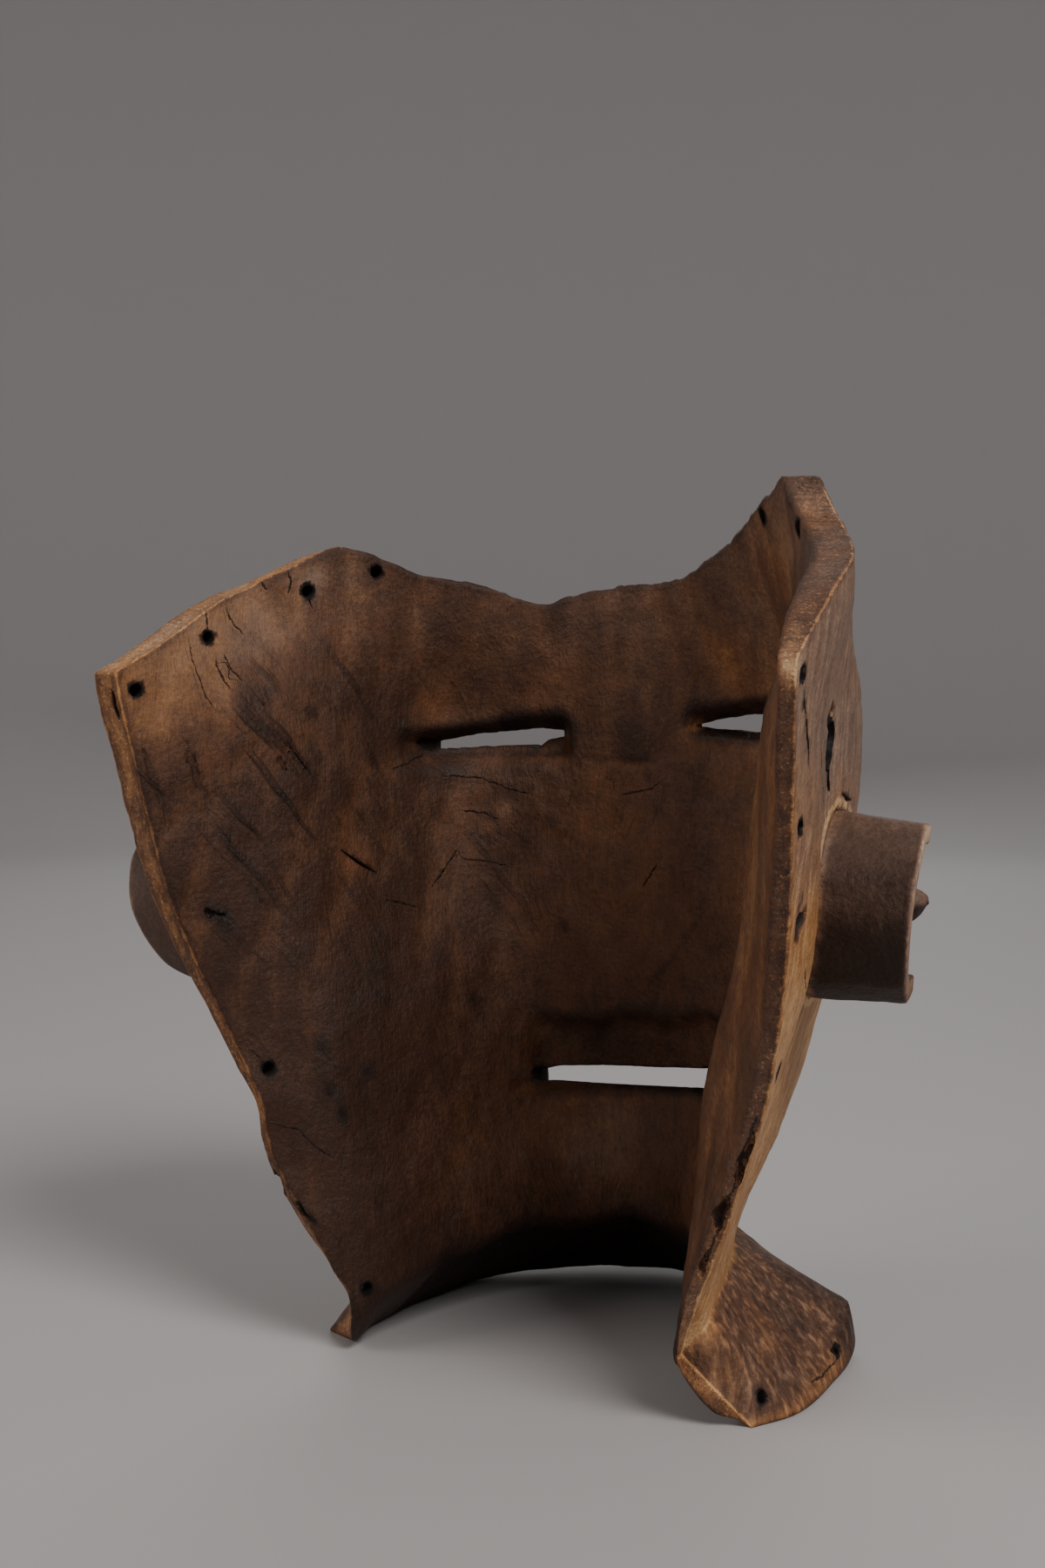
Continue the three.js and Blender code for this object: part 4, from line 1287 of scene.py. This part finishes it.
class Nodes:
    """A node tree with short calls: each makes one node, sets its inputs and gives its first output."""

    def __init__(self, tree):
        self.tree = tree

    def make(self, kind, *inputs, **settings):
        node = self.tree.nodes.new("ShaderNode" + kind)
        named = settings.pop("named", {})
        out = settings.pop("out", 0)
        for key, value in settings.items():
            setattr(node, key, value)
        for slot, value in list(enumerate(inputs)) + list(named.items()):
            if value is None:
                continue
            if isinstance(value, bpy.types.NodeSocket):
                self.tree.links.new(value, node.inputs[slot])
            else:
                node.inputs[slot].default_value = value
        return node.outputs[out]

    def sum(self, how, *inputs):
        return self.make("Math", *inputs, operation=how)

    def times(self, a, b):
        return self.sum("MULTIPLY", a, b)

    def plus(self, a, b):
        return self.sum("ADD", a, b)

    def swing(self, value, amount):
        """A pattern of 0 to 1 turned into one that swings by this amount about nothing."""
        return self.times(self.plus(value, -0.5), amount)

    def field(self, name, out="Fac"):
        return self.make("Attribute", attribute_type="GEOMETRY", attribute_name=name, out=out)

    def ease(self, value, low, high, to_low=0.0, to_high=1.0):
        return self.make("MapRange", value, low, high, to_low, to_high, interpolation_type="SMOOTHSTEP")

    def blend(self, part, a, b):
        return self.make("Mix", named={0: part, 6: a, 7: b}, data_type="RGBA", out=2)

    def mixed(self, part, a, b):
        return self.make("Mix", named={0: part, 2: a, 3: b}, data_type="FLOAT")

    def noise(self, vector, size, detail=3.0, rough=0.55):
        """Noise with lumps of the given sizes in millimetres."""
        size = size if isinstance(size, tuple) else (size, size, size)
        scaled = self.make("VectorMath", vector, tuple(1 / v for v in size), operation="MULTIPLY")
        return self.make("TexNoise", named={"Vector": scaled, "Scale": 1.0, "Detail": detail, "Roughness": rough})


def group(name, inputs, outputs, build):
    """A shader node group with named inputs and outputs."""
    tree = bpy.data.node_groups.new(name, "ShaderNodeTree")
    for label, kind, value in inputs:
        made = tree.interface.new_socket(label, in_out="INPUT", socket_type=kind)
        if value is not None:
            made.default_value = value
    for label, kind in outputs:
        tree.interface.new_socket(label, in_out="OUTPUT", socket_type=kind)
    come = tree.nodes.new("NodeGroupInput")
    go = tree.nodes.new("NodeGroupOutput")
    made = build(Nodes(tree), {label: come.outputs[label] for label, _, _ in inputs})
    for label, value in made.items():
        tree.links.new(value, go.inputs[label])
    return tree


VECTOR, NUMBER = "NodeSocketVector", "NodeSocketFloat"


def upright_grain(nodes, given):
    """Long soft streaks and fine fibres that run up the block, and the dots of the pores."""
    place = given["Place"]
    sway = nodes.make("TexNoise", named={"Vector": place, "Scale": 0.03, "Detail": 2.0}, out="Color")
    moved = nodes.make("VectorMath", sway, (14, 14, 0), place, operation="MULTIPLY_ADD")
    streaks = nodes.noise(moved, (2.6, 2.6, 36), 4.0, 0.6)
    fibres = nodes.noise(moved, (0.6, 0.6, 11), 3.0, 0.6)
    pores = nodes.ease(nodes.noise(moved, (0.5, 0.5, 2.6), 2.0, 0.6), 0.6, 0.72)
    return {"Streaks": streaks, "Fibres": fibres, "Pores": pores}


def adze_marks(nodes, given):
    """Soft grooves that the adze left along its stroke, and thin wandering tears between them."""
    turned = nodes.make("VectorRotate", given["Laid"], rotation_type="Z_AXIS", named={"Angle": given["Lean"]})
    sway = nodes.make("TexNoise", named={"Vector": turned, "Scale": 0.04, "Detail": 1.0}, out="Color")
    moved = nodes.make("VectorMath", sway, (8, 5, 0), turned, operation="MULTIPLY_ADD")
    grooves = nodes.ease(nodes.noise(moved, (4.2, 34, 4.2), 3.0, 0.5), 0.5, 0.68)
    bundle = nodes.ease(nodes.noise(moved, (21, 44, 21), 2.0, 0.5), 0.44, 0.6)
    contour = nodes.noise(moved, (6.5, 24, 6.5), 3.0, 0.55)
    thin = nodes.ease(nodes.sum("ABSOLUTE", nodes.plus(contour, -0.5)), 0.022, 0.004)
    broken = nodes.ease(nodes.noise(given["Laid"], 11, 3.0, 0.55), 0.5, 0.62)
    return {"Grooves": nodes.times(grooves, bundle), "Tears": nodes.times(thin, broken)}


def crack_lines(nodes, given):
    """A thin dark line where the crack's side field crosses zero, wandering, with gaps and swellings."""
    wander = nodes.noise(given["Place"], 2.6, 4.0, 0.65)
    side = nodes.plus(given["Side"], nodes.swing(wander, 2.2))
    swelling = nodes.ease(nodes.noise(given["Place"], 1.8, 2.0, 0.5), 0.35, 0.65, 0.05, 1.0)
    width = nodes.times(nodes.times(given["Near"], swelling), 0.42)
    away = nodes.sum("SUBTRACT", nodes.sum("ABSOLUTE", side), width)
    line = nodes.times(nodes.ease(away, 0.3, -0.1), nodes.ease(given["Near"], 0.12, 0.4))
    return {"Line": line}


def bare_edge(nodes, given):
    """Where an edge is rubbed to bare wood, broken up by the grain."""
    chips = nodes.noise(given["Place"], (2.4, 2.4, 5), 4.0, 0.65)
    worn = nodes.plus(given["Rubbed"], nodes.swing(chips, 0.9))
    line = nodes.plus(given["From Edge"], nodes.swing(chips, 2.6))
    strong = nodes.ease(line, 0.8, 0.0)
    return {"Bare": nodes.sum("MAXIMUM", nodes.times(nodes.ease(worn, 0.35, 0.95), 0.7), strong)}


def end_grain(nodes, given):
    """The cut ends of the fibres: fine lines across the edge, pits and pale crumbs."""
    lines = nodes.noise(given["Laid"], (0.8, 5, 7), 3.0, 0.6)
    some = nodes.ease(nodes.noise(given["Place"], 8, 2.0, 0.5), 0.46, 0.6)
    pits = nodes.times(nodes.ease(nodes.noise(given["Place"], 1.0, 4.0, 0.7), 0.55, 0.7), some)
    crumbs = nodes.ease(nodes.noise(given["Place"], 0.9, 2.0, 0.6), 0.42, 0.34)
    return {"Lines": lines, "Pits": pits, "Crumbs": crumbs}


place_in = ("Place", VECTOR, None)
laid_in = ("Laid", VECTOR, None)
streaks_out = [("Streaks", NUMBER), ("Fibres", NUMBER), ("Pores", NUMBER)]
grain = group("upright grain", [place_in], streaks_out, upright_grain)
marks_out = [("Grooves", NUMBER), ("Tears", NUMBER)]
marks = group("adze marks", [laid_in, ("Lean", NUMBER, 0.0)], marks_out, adze_marks)
crack_in = [place_in, ("Side", NUMBER, 9.0), ("Near", NUMBER, 0.0)]
crack = group("crack lines", crack_in, [("Line", NUMBER)], crack_lines)
edge_in = [place_in, ("Rubbed", NUMBER, 0.0), ("From Edge", NUMBER, 9.0)]
edge_wear = group("bare edge", edge_in, [("Bare", NUMBER)], bare_edge)
end_out = [("Lines", NUMBER), ("Pits", NUMBER), ("Crumbs", NUMBER)]
cut_end = group("end grain", [place_in, laid_in], end_out, end_grain)

wood = bpy.data.materials.new("old_wood")
wood.use_nodes = True
nodes = Nodes(wood.node_tree)
surface = wood.node_tree.nodes["Principled BSDF"]
where = nodes.make("TexCoord", out="Object")
place = nodes.make("VectorMath", where, (1000, 1000, 1000), operation="MULTIPLY")


def use(tree, **inputs):
    node = nodes.tree.nodes.new("ShaderNodeGroup")
    node.node_tree = tree
    for label, value in inputs.items():
        socket = node.inputs[label.replace("_", " ")]
        if isinstance(value, bpy.types.NodeSocket):
            nodes.tree.links.new(value, socket)
        else:
            socket.default_value = value
    return node.outputs


laid_flat = nodes.field("laid", "Vector")
wood_grain = use(grain, Place=place)
left_marks = use(marks, Laid=laid_flat, Lean=math.radians(34))
right_marks = use(marks, Laid=laid_flat, Lean=math.radians(-18))
lines = use(crack, Place=place, Side=nodes.field("crack_side"), Near=nodes.field("crack_near"))["Line"]
bare = use(edge_wear, Place=place, Rubbed=nodes.field("rubbed"), From_Edge=nodes.field("from_edge"))["Bare"]
ends = use(cut_end, Place=place, Laid=laid_flat)
arc_place = nodes.make("SeparateXYZ", laid_flat)
on_left = nodes.ease(arc_place, 15, 60)
worked = nodes.field("worked")
grooves = nodes.times(nodes.mixed(on_left, right_marks["Grooves"], left_marks["Grooves"]), worked)
torn_part = nodes.plus(nodes.times(nodes.field("torn"), 0.8), nodes.times(worked, 0.25))
tears = nodes.times(nodes.mixed(on_left, right_marks["Tears"], left_marks["Tears"]), torn_part)
cloud = nodes.noise(place, 38, 4.0, 0.6)
mottle = nodes.noise(place, 7, 4.0, 0.62)
speckle = nodes.noise(place, 1.6, 3.0, 0.6)
streaked = nodes.field("streaked")
end_wood = nodes.field("end_wood")
sunk_field = nodes.field("sunk")
scooped_field = nodes.field("scooped")

shade = nodes.field("tone")
shade = nodes.plus(shade, nodes.swing(cloud, 0.22))
shade = nodes.plus(shade, nodes.swing(mottle, 0.2))
shade = nodes.plus(shade, nodes.swing(speckle, 0.2))
# Painted shade in the adze scoops and painted highlight on the ridges between them.
shade = nodes.plus(shade, nodes.swing(scooped_field, -0.14))
streak_depth = nodes.plus(nodes.times(streaked, 0.42), 0.12)
shade = nodes.plus(shade, nodes.times(nodes.swing(wood_grain["Streaks"], 1.0), streak_depth))
strokes = nodes.ease(nodes.noise(place, (2.2, 2.4, 12), 2.0, 0.5), 0.4, 0.8)
shade = nodes.plus(shade, nodes.times(nodes.times(strokes, nodes.field("plate")), 0.26))
fibrous = nodes.ease(nodes.field("on_ear"), 0, 1, 1.0, 0.25)
shade = nodes.plus(shade, nodes.times(nodes.swing(wood_grain["Fibres"], 0.16), fibrous))
shade = nodes.plus(shade, nodes.times(nodes.swing(ends["Lines"], 0.35), end_wood))
end_marks = nodes.plus(nodes.times(ends["Pits"], -0.12), nodes.times(ends["Crumbs"], 0.2))
shade = nodes.plus(shade, nodes.times(end_marks, end_wood))
shade = nodes.plus(shade, nodes.times(bare, 0.3))
shade = nodes.plus(shade, nodes.times(grooves, -0.2))
shade = nodes.plus(shade, nodes.times(tears, -0.12))
# Darker in sunken places: grime and painted shade.
shade = nodes.plus(shade, nodes.times(sunk_field, -0.16))
shade = nodes.plus(shade, nodes.times(wood_grain["Pores"], -0.1))
shade = nodes.times(shade, nodes.ease(lines, 0, 1, 1.0, 0.42))
# Inside the bores and hollows: grime and painted shade.
shade = nodes.plus(shade, nodes.times(nodes.field("dirt_and_shade"), -1.0))

warm_part = nodes.plus(nodes.field("warmth"), nodes.swing(nodes.noise(place, 26, 3.0, 0.6), 0.9))
warm_part = nodes.plus(warm_part, nodes.times(bare, 0.25))
warm_part = nodes.plus(warm_part, nodes.swing(mottle, 0.4))


def stain(name, stops):
    """Colours of the wood from its darkest to its palest."""
    node = nodes.tree.nodes.new("ShaderNodeValToRGB")
    node.name = name
    ramp = node.color_ramp
    while len(ramp.elements) < len(stops):
        ramp.elements.new(0.5)
    for element, (position, colour) in zip(ramp.elements, stops):
        element.position = position
        element.color = (*colour, 1)
    nodes.tree.links.new(shade, node.inputs[0])
    return node.outputs[0]


greys = [
    (0, (0.005, 0.0035, 0.003)), (0.3, (0.036, 0.019, 0.013)), (0.5, (0.1, 0.057, 0.041)),
    (0.75, (0.27, 0.17, 0.12)), (1, (0.55, 0.42, 0.32)),
]
reds = [
    (0, (0.006, 0.0025, 0.0015)), (0.3, (0.047, 0.0175, 0.0078)), (0.5, (0.133, 0.052, 0.021)),
    (0.75, (0.38, 0.172, 0.06)), (1, (0.68, 0.42, 0.2)),
]
colour = nodes.blend(nodes.ease(warm_part, 0.0, 1.0), stain("grey brown", greys), stain("red brown", reds))
nodes.tree.links.new(colour, surface.inputs["Base Color"])

gloss = nodes.plus(nodes.swing(mottle, 0.2), 0.56)
gloss = nodes.plus(gloss, nodes.times(bare, 0.14))
gloss = nodes.plus(gloss, nodes.times(nodes.field("dull"), 0.4))
gloss = nodes.plus(gloss, nodes.times(wood_grain["Streaks"], 0.08))
nodes.tree.links.new(gloss, surface.inputs["Roughness"])
surface.inputs["Specular IOR Level"].default_value = 0.35

relief = nodes.times(mottle, 0.5)
relief = nodes.plus(relief, nodes.times(speckle, 0.4))
relief = nodes.plus(relief, nodes.times(nodes.times(wood_grain["Streaks"], 0.35), fibrous))
relief = nodes.plus(relief, nodes.times(nodes.times(wood_grain["Fibres"], 0.25), fibrous))
relief = nodes.plus(relief, nodes.times(grooves, -0.6))
relief = nodes.plus(relief, nodes.times(tears, -0.3))
relief = nodes.plus(relief, nodes.times(nodes.times(ends["Pits"], -0.25), end_wood))
relief = nodes.plus(relief, nodes.times(lines, -0.6))
bump = nodes.tree.nodes.new("ShaderNodeBump")
bump.inputs["Strength"].default_value = 0.9
bump.inputs["Distance"].default_value = 0.0014
nodes.tree.links.new(relief, bump.inputs["Height"])
nodes.tree.links.new(bump.outputs["Normal"], surface.inputs["Normal"])

mesh.materials.clear()
mesh.materials.append(wood)
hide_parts("mask")
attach(block, "root")
